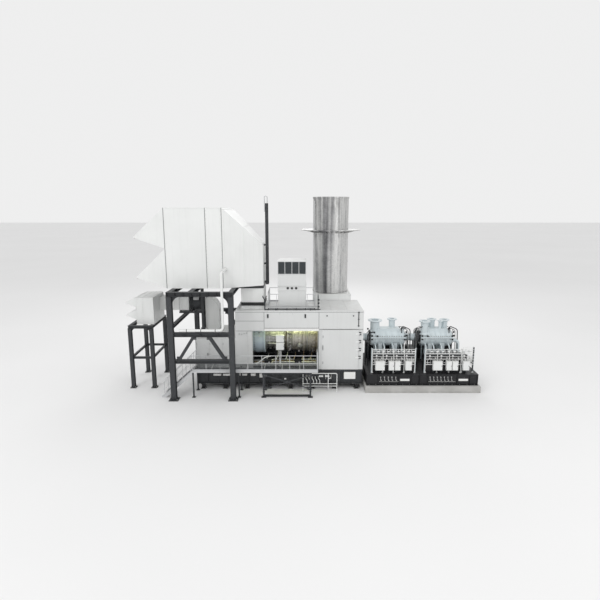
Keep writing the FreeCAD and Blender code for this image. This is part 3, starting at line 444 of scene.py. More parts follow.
    def done(self, slot, *replaces, bevel=0.0, body="machine"):
        """Turns the shapes into an object that rides on a body and stands in for CAD nodes."""
        bmesh.ops.recalc_face_normals(self.mesh, faces=self.mesh.faces)
        for face in self.mesh.faces:
            face.smooth = True
        for edge in self.mesh.edges:
            if len(edge.link_faces) == 2 and edge.calc_face_angle(0) > SHARP:
                edge.smooth = False
        mesh = bpy.data.meshes.new(self.name)
        self.mesh.to_mesh(mesh)
        self.mesh.free()
        for finish in self.finishes:
            mesh.materials.append(finish)
        made = bpy.data.objects.new(self.name, mesh)
        bpy.context.scene.collection.objects.link(made)
        if bevel:
            trim = made.modifiers.new("edge_trim", "BEVEL")
            trim.width = bevel
            trim.segments = 2
            trim.limit_method = "ANGLE"
            trim.harden_normals = True
        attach(made, body)
        if replaces:
            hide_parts(*replaces)


def outline(low, high):
    """Corners of an upright rectangle, seen from above, in turn."""
    return [(low[0], low[1]), (high[0], low[1]), (high[0], high[1]), (low[0], high[1])]


def square_to(axis):
    """Two directions at right angles to an axis and to each other."""
    side = axis.cross(ALONG if abs(axis.x) < 0.9 else ACROSS).normalized()
    return side, axis.cross(side)


def plug(radius, reach, back=0):
    """Profile of a plain round stud for the lathe, from back to reach along its axis."""
    return [(back, 0), (back, radius), (reach, radius), (reach, 0)]


def bent(points, bend, steps=6):
    """A route with each corner eased over by a short curve."""
    route = [points[0]]
    for before, corner, after in zip(points, points[1:], points[2:]):
        back = corner.lerp(before, min(bend / (before - corner).length, 0.5))
        on = corner.lerp(after, min(bend / (after - corner).length, 0.5))
        for step in range(steps + 1):
            share = step / steps
            route.append(back.lerp(corner, share).lerp(corner.lerp(on, share), share))
    route.append(points[-1])
    return route


def spread(low, high, count):
    """Evenly spaced places from low to high, both included."""
    return [low + (high - low) * k / (count - 1) for k in range(count)]


def spans(low, high, count):
    """Neighbouring pairs of evenly spaced places."""
    places = spread(low, high, count)
    return zip(places, places[1:])


# ------------------------------------------------------------------------------------ air intake

def panelled_box(piece, low, high, finish, trim, across_seams, up_seams, rib=0.02, wide=0.06):
    """Closed box with raised cover strips at its edges and at given shares of its length and height."""
    low, high = Vector(low), Vector(high)
    inset = at(rib, rib, rib)
    piece.block(low + inset, high - inset, finish)
    size = high - low
    for share in across_seams:
        x = low.x + size.x * share
        x = min(max(x, low.x + wide / 2), high.x - wide / 2)
        for y in (low.y, high.y - rib):
            piece.block((x - wide / 2, y, low.z), (x + wide / 2, y + rib, high.z), trim)
        piece.block((x - wide / 2, low.y + rib, high.z - rib), (x + wide / 2, high.y - rib, high.z - 0.001),
                trim)
    for share in up_seams:
        z = low.z + size.z * share
        z = min(max(z, low.z + wide / 2), high.z - wide / 2)
        for y in (low.y, high.y - rib):
            piece.block((low.x + 0.002, y + 0.002, z - wide / 2), (high.x - 0.002, y + rib - 0.002,
                    z + wide / 2), trim)
        for x in (low.x + 0.003, high.x - rib):
            piece.block((x, low.y + rib, z - wide / 2), (x + rib - 0.003, high.y - rib, z + wide / 2), trim)


def filter_house():
    low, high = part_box("filter_house")
    piece = Piece("filter_house_shell", WHITE)
    panelled_box(piece, low, high, WHITE, WHITE, (0, 0.712, 1), (0, 1))
    for x in (low.x + (high.x - low.x) * 0.712 + 0.055, high.x - 0.1):
        for y, way in ((low.y + 0.02, -1), (high.y - 0.02, 1)):
            piece.bolt_row((x, y, low.z + 0.2), (x, y, high.z - 0.2), 20, (0, way, 0), 0.022)
    for x in (low.x + 0.03, low.x + (high.x - low.x) * 0.712, high.x - 0.03):
        piece.block((x - 0.02, low.y - 0.003, low.z + 0.01), (x + 0.02, high.y + 0.003, high.z + 0.003),
                JOINT)
    for y in spread(low.y + 0.63, high.y - 0.63, 4):
        piece.block((low.x, y - 0.015, high.z - 0.03), (high.x, y + 0.015, high.z + 0.025))
    piece.done("white_panel", "filter_house", bevel=0.006)


def filter_transition():
    low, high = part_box("filter_transition")
    duct_low, duct_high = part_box("intake_duct")
    half_end = (duct_high.y - duct_low.y) / 2
    middle = (low.y + high.y) / 2
    end_tall = 2.89
    end_top = low.z + end_tall
    piece = Piece("filter_outlet_taper", WHITE)
    start = [at(low.x, y, z) for y, z in ((low.y, low.z), (high.y, low.z), (high.y, high.z),
            (low.y, high.z))]
    end = [at(high.x, y, z) for y, z in ((middle - half_end, low.z), (middle + half_end, low.z),
            (middle + half_end, end_top), (middle - half_end, end_top))]
    piece.shell(start + end, [(0, 1, 2, 3), (7, 6, 5, 4), (0, 4, 5, 1), (1, 5, 6, 2), (2, 6, 7, 3),
            (3, 7, 4, 0)])
    inward = at(0, 0.02, 0)
    for share in (0.03, 0.5, 0.97):
        near = [a.lerp(b, share) for a, b in zip(start, end)]
        for a, b in ((0, 3), (1, 2), (3, 2)):
            offset = inward if a == 0 else (-inward if (a, b) == (1, 2) else at(0, 0, -0.02))
            piece.bar(near[a] + offset, near[b] + offset, 0.07, 0.05, side=(1, 0, 0))
    piece.done("white_panel", "filter_transition")


def weather_hood(piece, wall, top, root, reach, drop, low_y, high_y, sheet):
    """Sloping top sheet with ribs, two cheeks with turned edges, and a bird screen underneath."""
    tip = at(wall - reach, 0, top - drop)
    for y, thick in ((low_y, sheet), (high_y - sheet, sheet)):
        cheek = [at(wall, y, top), at(tip.x, y, tip.z), at(tip.x + 0.03, y, tip.z - sheet),
                at(wall, y, root)]
        piece.prism(cheek, at(0, thick, 0), WHITE)
    inner = low_y + sheet
    roof = [at(wall, inner, top), at(tip.x, inner, tip.z), at(tip.x + 0.02, inner, tip.z - sheet),
            at(wall, inner, top - sheet * 1.3)]
    piece.prism(roof, at(0, high_y - low_y - 2 * sheet, 0), WHITE)
    piece.block((tip.x + 0.02, inner, tip.z - sheet * 2.2), (tip.x + 0.02 + sheet * 0.6, high_y - sheet,
            tip.z - sheet * 0.5), WHITE)
    down = at(wall, 0, top - sheet) - at(tip.x, 0, tip.z - sheet)
    for y in spread(low_y + 0.04, high_y - 0.04, 7):
        a = at(tip.x + 0.06, y, tip.z - sheet * 1.2)
        piece.bar(a, a + down * 0.96, 0.03, 0.05, SEAM)
    for y in spread(low_y, high_y, 7)[1:-1]:
        piece.bar((tip.x + 0.012, y, tip.z + 0.006), (wall - 0.02, y, top + 0.002), 0.05, 0.012, WHITE)
    edge, foot = at(tip.x + 0.08, 0, tip.z - sheet * 1.6), at(wall, 0, root + 0.05)
    for y in spread(low_y + sheet, high_y - sheet, 17):
        piece.bar(edge + ACROSS * y, foot + ACROSS * y, 0.012, 0.012, SEAM)
    for share in spread(0.06, 0.94, 8):
        spot = edge.lerp(foot, share)
        piece.bar(spot + ACROSS * (low_y + sheet), spot + ACROSS * (high_y - sheet), 0.012, 0.012, SEAM,
                side=(1, 0, 0))


def weather_hoods():
    low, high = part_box("weather_hoods")
    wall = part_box("filter_house")[0].x
    middle = (low.z + high.z) / 2
    piece = Piece("intake_weather_hoods", WHITE)
    drop = (high.z - low.z) * 0.357
    weather_hood(piece, wall, high.z, middle + 0.03, wall - low.x, drop, low.y, high.y, 0.05)
    weather_hood(piece, wall, middle, low.z, wall - low.x - 0.05, drop, low.y, high.y, 0.05)
    piece.done("white_panel", "weather_hoods", bevel=0.004)
    low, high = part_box("vent_hoods")
    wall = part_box("vent_filter_box")[0].x
    small = Piece("vent_weather_hoods", WHITE)
    tall = 0.70
    for top in (high.z, low.z + tall):
        weather_hood(small, wall, top, top - tall, wall - low.x, 0.37, low.y, high.y, 0.03)
    small.done("white_panel", "vent_hoods", bevel=0.003)


def intake_duct():
    low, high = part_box("intake_duct")
    joint_low, joint_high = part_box("expansion_joint")
    piece = Piece("intake_duct_panels", WHITE)
    for z0, z1 in ((low.z, joint_low.z), (joint_high.z, high.z)):
        panelled_box(piece, (low.x, low.y, z0), (high.x, high.y, z1), WHITE, WHITE, (0, 0.5, 1), (0, 1))
    piece.done("white_panel", "intake_duct", bevel=0.005)
    belt = Piece("expansion_joint_belt", CHARCOAL)
    thick = (joint_high.z - joint_low.z) * 0.22
    shrink = at(0.05, 0.05, 0)
    belt.block(joint_low + shrink, joint_high - shrink, RUBBER)
    for z in (joint_low.z, joint_high.z - thick):
        belt.block((joint_low.x, joint_low.y, z), (joint_high.x, joint_high.y, z + thick))
        for y, way in ((joint_low.y, -1), (joint_high.y, 1)):
            belt.bolt_row((joint_low.x + 0.08, y, z + thick / 2), (joint_high.x - 0.08, y, z + thick / 2),
                    12, (0, way, 0), 0.024)
    belt.done("charcoal_steel", "expansion_joint", bevel=0.004)


def filter_ladder():
    low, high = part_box("filter_ladder")
    piece = Piece("end_wall_ladder", CHARCOAL)
    wall = low.x
    back, front = wall + 0.11, high.x
    for y, way in ((low.y, 1), (high.y, -1)):
        piece.block((back, y if way > 0 else y - 0.012, low.z), (front, y + 0.012 if way > 0 else y,
                high.z))
        for x in (back, front - 0.012):
            piece.block((x, min(y, y + way * 0.06), low.z), (x + 0.012, max(y, y + way * 0.06), high.z))
    for z in spread(low.z + 0.25, high.z - 0.3, 18):
        piece.rod((front - 0.1, low.y, z), (front - 0.1, high.y, z), 0.014, CHARCOAL, 8)
    for z in spread(7.6, 10.3, 3):
        for y in (low.y + 0.03, high.y - 0.03):
            piece.block((wall, y - 0.03, z - 0.035), (back + 0.02, y + 0.03, z + 0.035))
        piece.block((wall, low.y - 0.03, z - 0.06), (wall + 0.014, high.y + 0.03, z + 0.06))
    top = min(cad_box[1].z - 0.02, high.z + 0.5)
    for y in (low.y + 0.03, high.y - 0.03):
        piece.pipe([(front - 0.05, y, high.z - 0.25), (front - 0.05, y, top), (back - 0.05, y, top),
                (back - 0.05, y, high.z - 0.6)], 0.018, RAIL, 0.09, 8)
    piece.done("charcoal_steel", "filter_ladder")


# ------------------------------------------------------------------------------------ steel frame

def column(piece, spot, size, foot, head, plate):
    """H-section column with base plate stiffeners, anchor bolts and a cap plate."""
    x, y = spot
    piece.beam((x, y, foot), (x, y, head), size, size, ACROSS, size * 0.07)
    piece.block((x - plate / 2, y - plate / 2, 0), (x + plate / 2, y + plate / 2, foot), CHARCOAL)
    piece.about((x, y, head - 0.012), (size, size, 0.024), CHARCOAL)
    for a in (-1, 1):
        for b in (-1, 1):
            bolt = at(x + a * plate * 0.39, y + b * plate * 0.39, foot)
            piece.rod(bolt, bolt + UP * 0.09, 0.016, BOLT, 8)
            piece.bolt(bolt, UP, 0.05)
        rib = [at(x + a * size * 0.5, y - 0.008, foot), at(x + a * plate * 0.48, y - 0.008, foot),
                at(x + a * size * 0.5, y - 0.008, foot + plate * 0.4)]
        piece.prism(rib, at(0, 0.016, 0), CHARCOAL)
        fin = [at(x - 0.008, y + a * size * 0.5, foot), at(x - 0.008, y + a * plate * 0.48, foot),
                at(x - 0.008, y + a * size * 0.5, foot + plate * 0.4)]
        piece.prism(fin, at(0.016, 0, 0), CHARCOAL)


def haunch(piece, corner, reach, lean, thick):
    """Curved knee plate under a beam, with a flange along its curve."""
    curve = [corner + at(lean * reach, 0, 0) + at(-lean * math.sin(turn), 0, math.cos(turn) - 1) * reach
            for turn in spread(0, math.pi / 2, 9)]
    plate = [corner - ACROSS * 0.012] + [spot - ACROSS * 0.012 for spot in curve]
    if lean < 0:
        plate.reverse()
    piece.prism(plate, ACROSS * 0.024, CHARCOAL)
    for a, b in zip(curve, curve[1:]):
        piece.bar(a, b, thick, 0.022, CHARCOAL, side=(0, 1, 0))


def main_frame():
    low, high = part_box("frame_columns")
    size = 0.35
    low_rail, high_rail = 2.745, 4.62
    stiffener = 0.12
    piece = Piece("filter_frame_columns", CHARCOAL)
    xs = (low.x + size / 2, high.x - size / 2)
    ys = (low.y + size / 2, high.y - size / 2)
    foot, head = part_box("column_base_plates")[1].z, high.z
    for x in xs:
        for y in ys:
            column(piece, (x, y), size, foot, head, 0.65)
            for rail in (low_rail, high_rail):
                for z in (rail + stiffener, rail - stiffener):
                    piece.about((x, y, z), (size - 0.02, size - 0.03, 0.016))
    post_inset = 1.51
    post_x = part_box("frame_cross_beams")[0].x + post_inset
    middle = (low.y + high.y) / 2
    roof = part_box("auxiliary_bay")[1].z
    piece.beam((post_x, middle, roof), (post_x, middle, head), 0.2, 0.2, ACROSS, 0.016)
    piece.about((post_x, middle, roof + 0.012), (0.36, 0.36, 0.024))
    vent_low, vent_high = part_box("vent_frame_legs")
    vent_size = 0.25
    for x in (vent_low.x + vent_size / 2, vent_high.x - vent_size / 2):
        for y in (vent_low.y + vent_size / 2, vent_high.y - vent_size / 2):
            column(piece, (x, y), vent_size, foot, vent_high.z, 0.42)
    piece.done("charcoal_steel", "frame_columns", "vent_frame_legs", "column_base_plates")
    beams = Piece("filter_frame_beams", CHARCOAL)
    top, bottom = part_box("frame_long_beams")[1].z, head
    depth = top - bottom
    inner = (xs[0] + size / 2, xs[1] - size / 2)
    for y in ys:
        beams.beam((low.x, y, (top + bottom) / 2), (high.x, y, (top + bottom) / 2), size, depth, UP, 0.022)
        for x in spread(low.x + 0.02, high.x - 0.02, 9):
            beams.about((x, y, (top + bottom) / 2), (0.014, size - 0.02, depth - 0.03))
        for z, deep in ((high_rail, 0.28), (low_rail, 0.25)):
            beams.beam((inner[0], y, z), (inner[1], y, z), size * 0.8, deep, UP, 0.02)
            for x, way in ((inner[0], 1), (inner[1], -1)):
                beams.about((x + way * 0.012, y, z), (0.024, size * 0.9, deep + 0.16))
                for a in (-0.1, 0.1):
                    for b in (-0.14, 0.14):
                        beams.bolt((x + way * 0.024, y + a, z + b * 0.7), (way, 0, 0), 0.03)
        for x in (xs[0] + 0.9, (xs[0] + xs[1]) / 2 - 0.05, xs[1] - 0.9):
            beams.about((x, y, high_rail), (0.014, size * 0.78, 0.25))
        for corner, lean in ((at(inner[0], y, bottom), 1), (at(inner[1], y, bottom), -1)):
            haunch(beams, corner, 0.6, lean, 0.16)
    brace_top, brace_foot = 4.48, 2.87
    for y in ys:
        for head_x, foot_x in ((-7.27, inner[0] + 0.31), (-6.23, inner[1] - 0.33)):
            a, b = at(head_x, y, brace_top), at(foot_x, y, brace_foot)
            beams.beam(a, b, 0.2, 0.2, ACROSS, 0.016)
            for end, lean in ((a - UP * 0.1, -1), (b + UP * 0.1, 1)):
                beams.about(end, (0.34, 0.02, 0.24))
                for dx in (-0.1, 0.1):
                    beams.bolt((end.x + dx, y - 0.012, end.z), (0, -1, 0), 0.028)
    cross_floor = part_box("frame_cross_beams")[0].z
    for x in (xs[0], post_x, xs[1]):
        beams.beam((x, ys[0] + size / 2, (top + bottom) / 2), (x, ys[1] - size / 2, (top + bottom) / 2),
                size - 0.05, depth, UP, 0.022)
        for y in spread(ys[0] + 0.6, ys[1] - 0.6, 7):
            beams.about((x, y, (top + bottom) / 2), (size - 0.06, 0.014, depth - 0.03))
    beams.beam((xs[0], ys[0] + size / 2, cross_floor + 0.12), (xs[0], ys[1] - size / 2, cross_floor + 0.12),
            0.2, 0.24, UP, 0.018)
    duct_low, duct_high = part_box("intake_duct")
    for y in (duct_low.y + 0.06, duct_high.y - 0.06):
        beams.beam((high.x, y, top - 0.1), (duct_high.x, y, top - 0.1), 0.12, 0.2, UP, 0.016)
    for x in (duct_high.x - 0.05, duct_low.x - 0.1):
        beams.about((x, (duct_low.y + duct_high.y) / 2, top - 0.1), (0.1, duct_high.y - duct_low.y - 0.24,
                0.2))
    vent_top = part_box("vent_frame_beams")[1].z
    vx = (vent_low.x + vent_size / 2, vent_high.x - vent_size / 2)
    vy = (vent_low.y + vent_size / 2, vent_high.y - vent_size / 2)
    for z, wide, deep in ((vent_top - 0.1, vent_size, 0.2), (2.28, 0.12, 0.16)):
        for y in vy:
            beams.beam((vent_low.x + (0 if deep > 0.18 else vent_size), y, z),
                    (vent_high.x - (0 if deep > 0.18 else vent_size), y, z), wide, deep, UP, 0.014)
        for x in vx:
            beams.beam((x, vy[0] + vent_size / 2, z), (x, vy[1] - vent_size / 2, z), wide, deep, UP, 0.014)
    for x, lean in ((vx[0] + vent_size / 2, 1), (vx[1] - vent_size / 2, -1)):
        for y in vy:
            haunch(beams, at(x, y, vent_top - 0.2), 0.3, lean, 0.1)
    beams.done("charcoal_steel", "frame_long_beams", "frame_cross_beams", "frame_braces",
            "vent_frame_beams")


def bleed_pipe():
    low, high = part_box("bleed_pipe")
    radius = 0.095
    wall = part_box("filter_house")[0].y
    right, front = high.x - radius, low.y + radius
    top, bottom = high.z - radius, low.z + radius
    piece = Piece("bleed_air_pipe", WHITE)
    piece.pipe([(right, wall + 0.03, top), (right, front, top), (right, front, bottom), (low.x, front,
            bottom)], radius * 0.92, WHITE, 0.28, 20)
    piece.lathe((right, wall - 0.03, top), ACROSS, plug(0.17, 0.03), WHITE, 24)
    piece.bolt_ring((right, wall - 0.03, top), -ACROSS, 0.14, 8, 0.03)
    for z in (8.2, 6.3):
        piece.ring((right, front, z), UP, radius * 0.8, radius, 0.05, WHITE, 20)
    piece.lathe((low.x, front, bottom), ALONG, plug(radius, 0.04), WHITE, 20)
    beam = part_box("frame_long_beams")[0].y
    for x in (low.x + 0.5, (low.x + right) / 2, right - 0.5):
        piece.about((x, (front + beam) / 2 + 0.05, bottom - 0.08), (0.05, abs(front - beam) + 0.12, 0.03),
                CHARCOAL)
        piece.ring((x, front, bottom), ALONG, radius * 0.85, radius, 0.04, CHARCOAL, 16)
    piece.done("white_panel", "bleed_pipe")


# ------------------------------------------------------------------------------------ package and enclosure

SHAFT_Y, SHAFT_Z = (cold_low.y + cold_high.y) / 2, (cold_low.z + cold_high.z) / 2
BAY_LEFT, BAY_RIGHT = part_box("enclosure_roof")[0].x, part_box("enclosure_roof")[1].x
FRONT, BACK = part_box("enclosure_front_panels")[0].y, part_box("enclosure_rear_wall")[1].y
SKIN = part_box("enclosure_front_panels")[1].y - FRONT
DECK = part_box("enclosure_front_panels")[0].z
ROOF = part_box("enclosure_roof")[1].z
OPEN_LEFT, HEADER_LEFT, BAY_MIDDLE = BAY_LEFT + 1.21, BAY_LEFT + 2.06, BAY_LEFT + 5.95
OPEN_TOP, LINTEL_TOP = DECK + 2.86, DECK + 3.05
DOOR_LOW, DOOR_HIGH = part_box("exhaust_door")
UNDER_ROOF, SEAM_GAP = ROOF - SKIN, 0.005
INSIDE = (FRONT + SKIN, BACK - SKIN)


def package_base():
    low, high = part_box("package_skid")
    deck_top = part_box("package_deck")[1].z
    piece = Piece("package_skid_frame", CHARCOAL)
    piece.block((low.x, low.y, high.z), (high.x, high.y, deck_top))
    flange, web, wide = 0.05, 0.03, 0.3
    for y, way in ((low.y, 1), (high.y, -1)):
        edge = sorted((y, y + way * wide))
        for z in (low.z, high.z - flange):
            piece.block((low.x, edge[0], z), (high.x, edge[1], z + flange))
        inner = sorted((y + way * 0.12, y + way * (0.12 + web)))
        piece.block((low.x, inner[0], low.z + flange), (high.x, inner[1], high.z - flange))
        for x in spread(low.x + 0.02, high.x - 0.02, 17):
            rib = sorted((y + way * 0.01, y + way * (wide - 0.01)))
            piece.block((x - 0.012, rib[0], low.z + flange), (x + 0.012, rib[1], high.z - flange))
        for x in spread(low.x + 1.2, high.x - 1.2, 4):
            z = (low.z + high.z) / 2
            piece.lathe((x + 0.37, y + way * 0.12, z), (0, -way, 0), [(0, 0), (0, 0.17), (0.03, 0.17),
                    (0.03, 0.1), (0.1, 0.1), (0.1, 0.13), (0.118, 0.13), (0.118, 0)], CHARCOAL, 28)
    for x in spread(low.x + 0.15, high.x - 0.15, 6):
        piece.beam((x, low.y + wide, (low.z + high.z) / 2), (x, high.y - wide, (low.z + high.z) / 2), 0.3,
                high.z - low.z, UP, 0.03)
    face = low.y - 0.012
    for x, long, z, tall in ((low.x + 10.62, 0.83, 0.75, 0.52), (low.x + 1.17, 0.54, 1.0, 0.14),
            (low.x + 1.85, 0.58, 1.0, 0.14), (low.x + 3.0, 0.6, 1.0, 0.14), (low.x + 3.87, 0.34, 0.98,
            0.18), (low.x + 4.5, 0.3, 0.86, 0.3)):
        piece.block((x, face, z), (x + long, low.y + 0.13, z + tall), BLANK)
        for a in (0.03, long - 0.03):
            for b in (0.03, tall - 0.03):
                piece.bolt((x + a, face, z + b), (0, -1, 0), 0.016)
    for x in (low.x + 9.3, low.x + 9.7):
        piece.pipe([(x, low.y + 0.15, 0.72), (x, low.y + 0.03, 0.72), (x, low.y + 0.03, 1.1),
                (x, low.y + 0.15, 1.1)], 0.025, STEEL, 0.05, 8)
    piece.done("charcoal_steel", "package_skid", "package_deck", bevel=0.004)


def jacking_feet():
    low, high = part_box("package_feet")
    feet = Piece("package_jacking_feet", BLACK)
    size = 0.36
    for x in spread(low.x + size / 2, high.x - size / 2, 8):
        for y in (low.y + size / 2, high.y - size / 2):
            feet.about((x, y, 0.015), (size, size, 0.03))
            feet.about((x, y, high.z - 0.02), (size, size, 0.04))
            feet.beam((x, y, 0.03), (x, y, high.z - 0.04), 0.24, 0.24, ACROSS, 0.025)
            for a in (-0.14, 0.14):
                for b in (-0.14, 0.14):
                    feet.rod((x + a, y + b, 0), (x + a, y + b, 0.11), 0.014, BOLT, 8)
                    feet.bolt((x + a, y + b, 0.03), UP, 0.042)
    feet.done("charcoal_steel", "package_feet")


def face_panel(piece, low, high, way, finish=None, bolts=0):
    """Flat wall panel with rows of fixings up its two side edges; way is the side it faces along Y."""
    piece.block(low, high, finish or WHITE)
    face = low[1] if way < 0 else high[1]
    inset = 0.05
    for x in (low[0] + inset, high[0] - inset):
        if bolts:
            piece.bolt_row((x, face, low[2] + inset), (x, face, high[2] - inset), bolts, (0, way, 0), 0.014)


def front_wall():
    front = Piece("enclosure_front_wall", ENCLOSURE)
    y0, y1 = FRONT + 0.002, FRONT + SKIN
    door_left, door_right, door_top = DOOR_LOW.x + 0.1, DOOR_HIGH.x - 0.1, DOOR_HIGH.z
    panels = [(BAY_LEFT, OPEN_LEFT - 0.34, DECK, OPEN_TOP - SEAM_GAP, 9), (OPEN_LEFT - 0.33, OPEN_LEFT,
            DECK, OPEN_TOP - SEAM_GAP, 9), (BAY_LEFT, HEADER_LEFT - SEAM_GAP, OPEN_TOP + SEAM_GAP,
            OPEN_TOP + 0.72, 3), (BAY_LEFT, HEADER_LEFT - SEAM_GAP, OPEN_TOP + 0.73, UNDER_ROOF, 3),
            (HEADER_LEFT + SEAM_GAP, BAY_MIDDLE - SEAM_GAP, LINTEL_TOP + SEAM_GAP, UNDER_ROOF, 5),
            (BAY_MIDDLE + SEAM_GAP, door_left, DECK, door_top, 9), (door_right, BAY_RIGHT, DECK, door_top,
            9), (BAY_MIDDLE + SEAM_GAP, BAY_RIGHT, door_top + 0.01, UNDER_ROOF, 5),]
    for left, right, bottom, top, bolts in panels:
        face_panel(front, (left, y0, bottom), (right, y1, top), -1, ENCLOSURE, bolts)
    front.block((BAY_LEFT + 0.01, y0 + 0.03, DECK), (OPEN_LEFT - 0.01, y1 - 0.005, UNDER_ROOF), SEAM)
    front.block((BAY_LEFT + 0.01, y0 + 0.03, LINTEL_TOP), (BAY_RIGHT - 0.01, y1 - 0.005, UNDER_ROOF), SEAM)
    front.block((HEADER_LEFT + SEAM_GAP, y0 - 0.02, OPEN_TOP), (BAY_MIDDLE - SEAM_GAP, y1,
            LINTEL_TOP - SEAM_GAP), BLANK)
    seal, proud = 0.026, 0.004
    # dark strips at the panel joints; the last one, under the roof edge along the whole front, is a joint
    # seal and also a painted shadow line under the roof edge
    for left, right, z in ((HEADER_LEFT, BAY_MIDDLE, LINTEL_TOP + 0.02), (BAY_LEFT + 0.02, OPEN_LEFT,
            OPEN_TOP), (BAY_LEFT + 0.02, HEADER_LEFT - 0.02, OPEN_TOP + 0.725), (BAY_MIDDLE + 0.02,
            BAY_RIGHT - 0.02, door_top + 0.03), (BAY_LEFT + 0.02, BAY_RIGHT - 0.02, UNDER_ROOF - 0.012)):
        front.block((left, y0 - proud, z - seal / 2), (right, y0 + 0.02, z + seal / 2), JOINT)
    for x, bottom in ((HEADER_LEFT, OPEN_TOP + 0.013), (BAY_MIDDLE, DECK + 0.01)):
        front.block((x - seal / 2, y0 - proud - 0.001, bottom), (x + seal / 2, y0 + 0.021,
                UNDER_ROOF - 0.001), JOINT)
    for x in spread(HEADER_LEFT + 0.15, BAY_MIDDLE - 0.15, 13):
        front.bolt((x, y0 - 0.02, (OPEN_TOP + LINTEL_TOP) / 2), (0, -1, 0), 0.018)
    for x in (OPEN_LEFT - 0.02, BAY_MIDDLE - 0.06):
        front.block((x, y0 - 0.015, DECK), (x + 0.035, y1 + 0.05, OPEN_TOP), SEAM)
    for x, z in ((HEADER_LEFT + 0.27, 5.43), (HEADER_LEFT + 2.92, 5.43)):
        front.about((x, FRONT - 0.03, z), (0.05, 0.06, 0.22), CHARCOAL)
        front.about((x, FRONT - 0.012, z), (0.11, 0.024, 0.28), CHARCOAL)
    for x in (HEADER_LEFT + 1.1, HEADER_LEFT + 2.0):
        front.block((x, FRONT - 0.008, UNDER_ROOF - 0.2), (x + 0.02, y0 + 0.01, UNDER_ROOF), SEAM)
    for x in (BAY_MIDDLE + 0.57, BAY_RIGHT - 0.73):
        front.lathe((x, y0 + 0.01, 5.45), -ACROSS, plug(0.045, 0.06), CHARCOAL, 16)
    front.block((BAY_RIGHT - 0.38, FRONT - 0.03, 4.65), (BAY_RIGHT - 0.33, y0 + 0.01, ROOF - 0.04),
            CHARCOAL)
    for z in (4.72, 5.2, 5.68):
        front.about((BAY_RIGHT - 0.355, FRONT - 0.01, z), (0.12, 0.03, 0.06), CHARCOAL)
    for x in spread(BAY_LEFT + 0.28, BAY_LEFT + 0.8, 4):
        front.lathe((x, y0 + 0.01, 4.14 + 0.05 * math.sin(x * 9)), -ACROSS, [(0, 0), (0, 0.05),
                (0.05, 0.05), (0.05, 0.03), (0.02, 0.03), (0.02, 0)], SEAM, 16)
    front.done("white_panel", "enclosure_front_panels", bevel=0.004)


def rear_wall():
    rear = Piece("enclosure_rear_wall_panels", ENCLOSURE)
    rear.block((BAY_LEFT, BACK - SKIN, DECK), (BAY_RIGHT, BACK - 0.02, UNDER_ROOF), SEAM)
    seams = [BAY_LEFT, OPEN_LEFT, BAY_LEFT + 3.4, BAY_MIDDLE - 0.6]
    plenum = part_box("exhaust_plenum")
    for left, right in zip(seams, seams[1:]):
        for bottom, top in ((DECK, OPEN_TOP), (OPEN_TOP + 0.01, UNDER_ROOF)):
            face_panel(rear, (left + SEAM_GAP, BACK - 0.03, bottom), (right - SEAM_GAP, BACK, top), 1,
                    ENCLOSURE, 6)
    face_panel(rear, (plenum[1].x + 0.01, BACK - 0.03, DECK), (BAY_RIGHT, BACK, UNDER_ROOF), 1, ENCLOSURE,
            8)
    face_panel(rear, (BAY_MIDDLE - 0.59, BACK - 0.03, DECK), (plenum[0].x, BACK, UNDER_ROOF), 1, ENCLOSURE,
            8)
    rear.done("white_panel", "enclosure_rear_wall", bevel=0.004)


def end_walls():
    ends = Piece("enclosure_bulkhead_panels", ENCLOSURE)
    for x in (BAY_LEFT, BAY_MIDDLE - SKIN / 2, BAY_RIGHT - SKIN):
        ends.block((x + 0.01, INSIDE[0], DECK), (x + SKIN - 0.01, INSIDE[1], UNDER_ROOF), SEAM)
    columns = spread(INSIDE[0], INSIDE[1], 4)
    for x, way in ((BAY_LEFT, -1), (BAY_RIGHT, 1)):
        for left, right in zip(columns, columns[1:]):
            for bottom, top in ((DECK if x > 0 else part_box("auxiliary_bay")[1].z + 0.01, OPEN_TOP + 0.06),
                    (OPEN_TOP + 0.07, UNDER_ROOF)):
                far = sorted((x, x - way * 0.03))
                ends.block((far[0], left + SEAM_GAP, bottom), (far[1], right - SEAM_GAP, top))
                for y in (left + 0.06, right - 0.06):
                    ends.bolt_row((x, y, bottom + 0.1), (x, y, top - 0.1), 5, (way, 0, 0), 0.014)
    ends.lathe((BAY_RIGHT, SHAFT_Y, SHAFT_Z), ALONG, [(-0.02, 0.2), (-0.02, 0.46), (0.03, 0.46),
            (0.03, 0.36), (0.08, 0.33), (0.08, 0.2)], RUBBER, 32)
    ends.bolt_ring((BAY_RIGHT + 0.03, SHAFT_Y, SHAFT_Z), ALONG, 0.42, 16, 0.03)
    ends.done("white_panel", "enclosure_bulkheads", bevel=0.004)


def bay_lining():
    lining = Piece("bay_acoustic_lining", LOUVRE)
    for left, right in spans(BAY_LEFT + SKIN, BAY_MIDDLE - SKIN, 7):
        for bottom, top in ((DECK + 0.02, 3.2), (3.22, UNDER_ROOF - 0.02)):
            lining.block((left + 0.01, INSIDE[1] - 0.03, bottom), (right - 0.01, INSIDE[1] - 0.004, top))
        lining.block((left + 0.01, INSIDE[0] + 0.25, UNDER_ROOF - 0.03), (right - 0.01, INSIDE[1] - 0.04,
                UNDER_ROOF - 0.004))
    for x in (BAY_LEFT + 2.75, BAY_LEFT + 3.85, BAY_LEFT + 4.95):
        lining.block((x, FRONT + 0.35, UNDER_ROOF - 0.12), (x + 0.62, FRONT + 0.5, UNDER_ROOF - 0.03),
                CHARCOAL)
        lining.block((x + 0.02, FRONT + 0.37, UNDER_ROOF - 0.14), (x + 0.6, FRONT + 0.48,
                UNDER_ROOF - 0.12), LAMP)
    lining.done("white_panel")


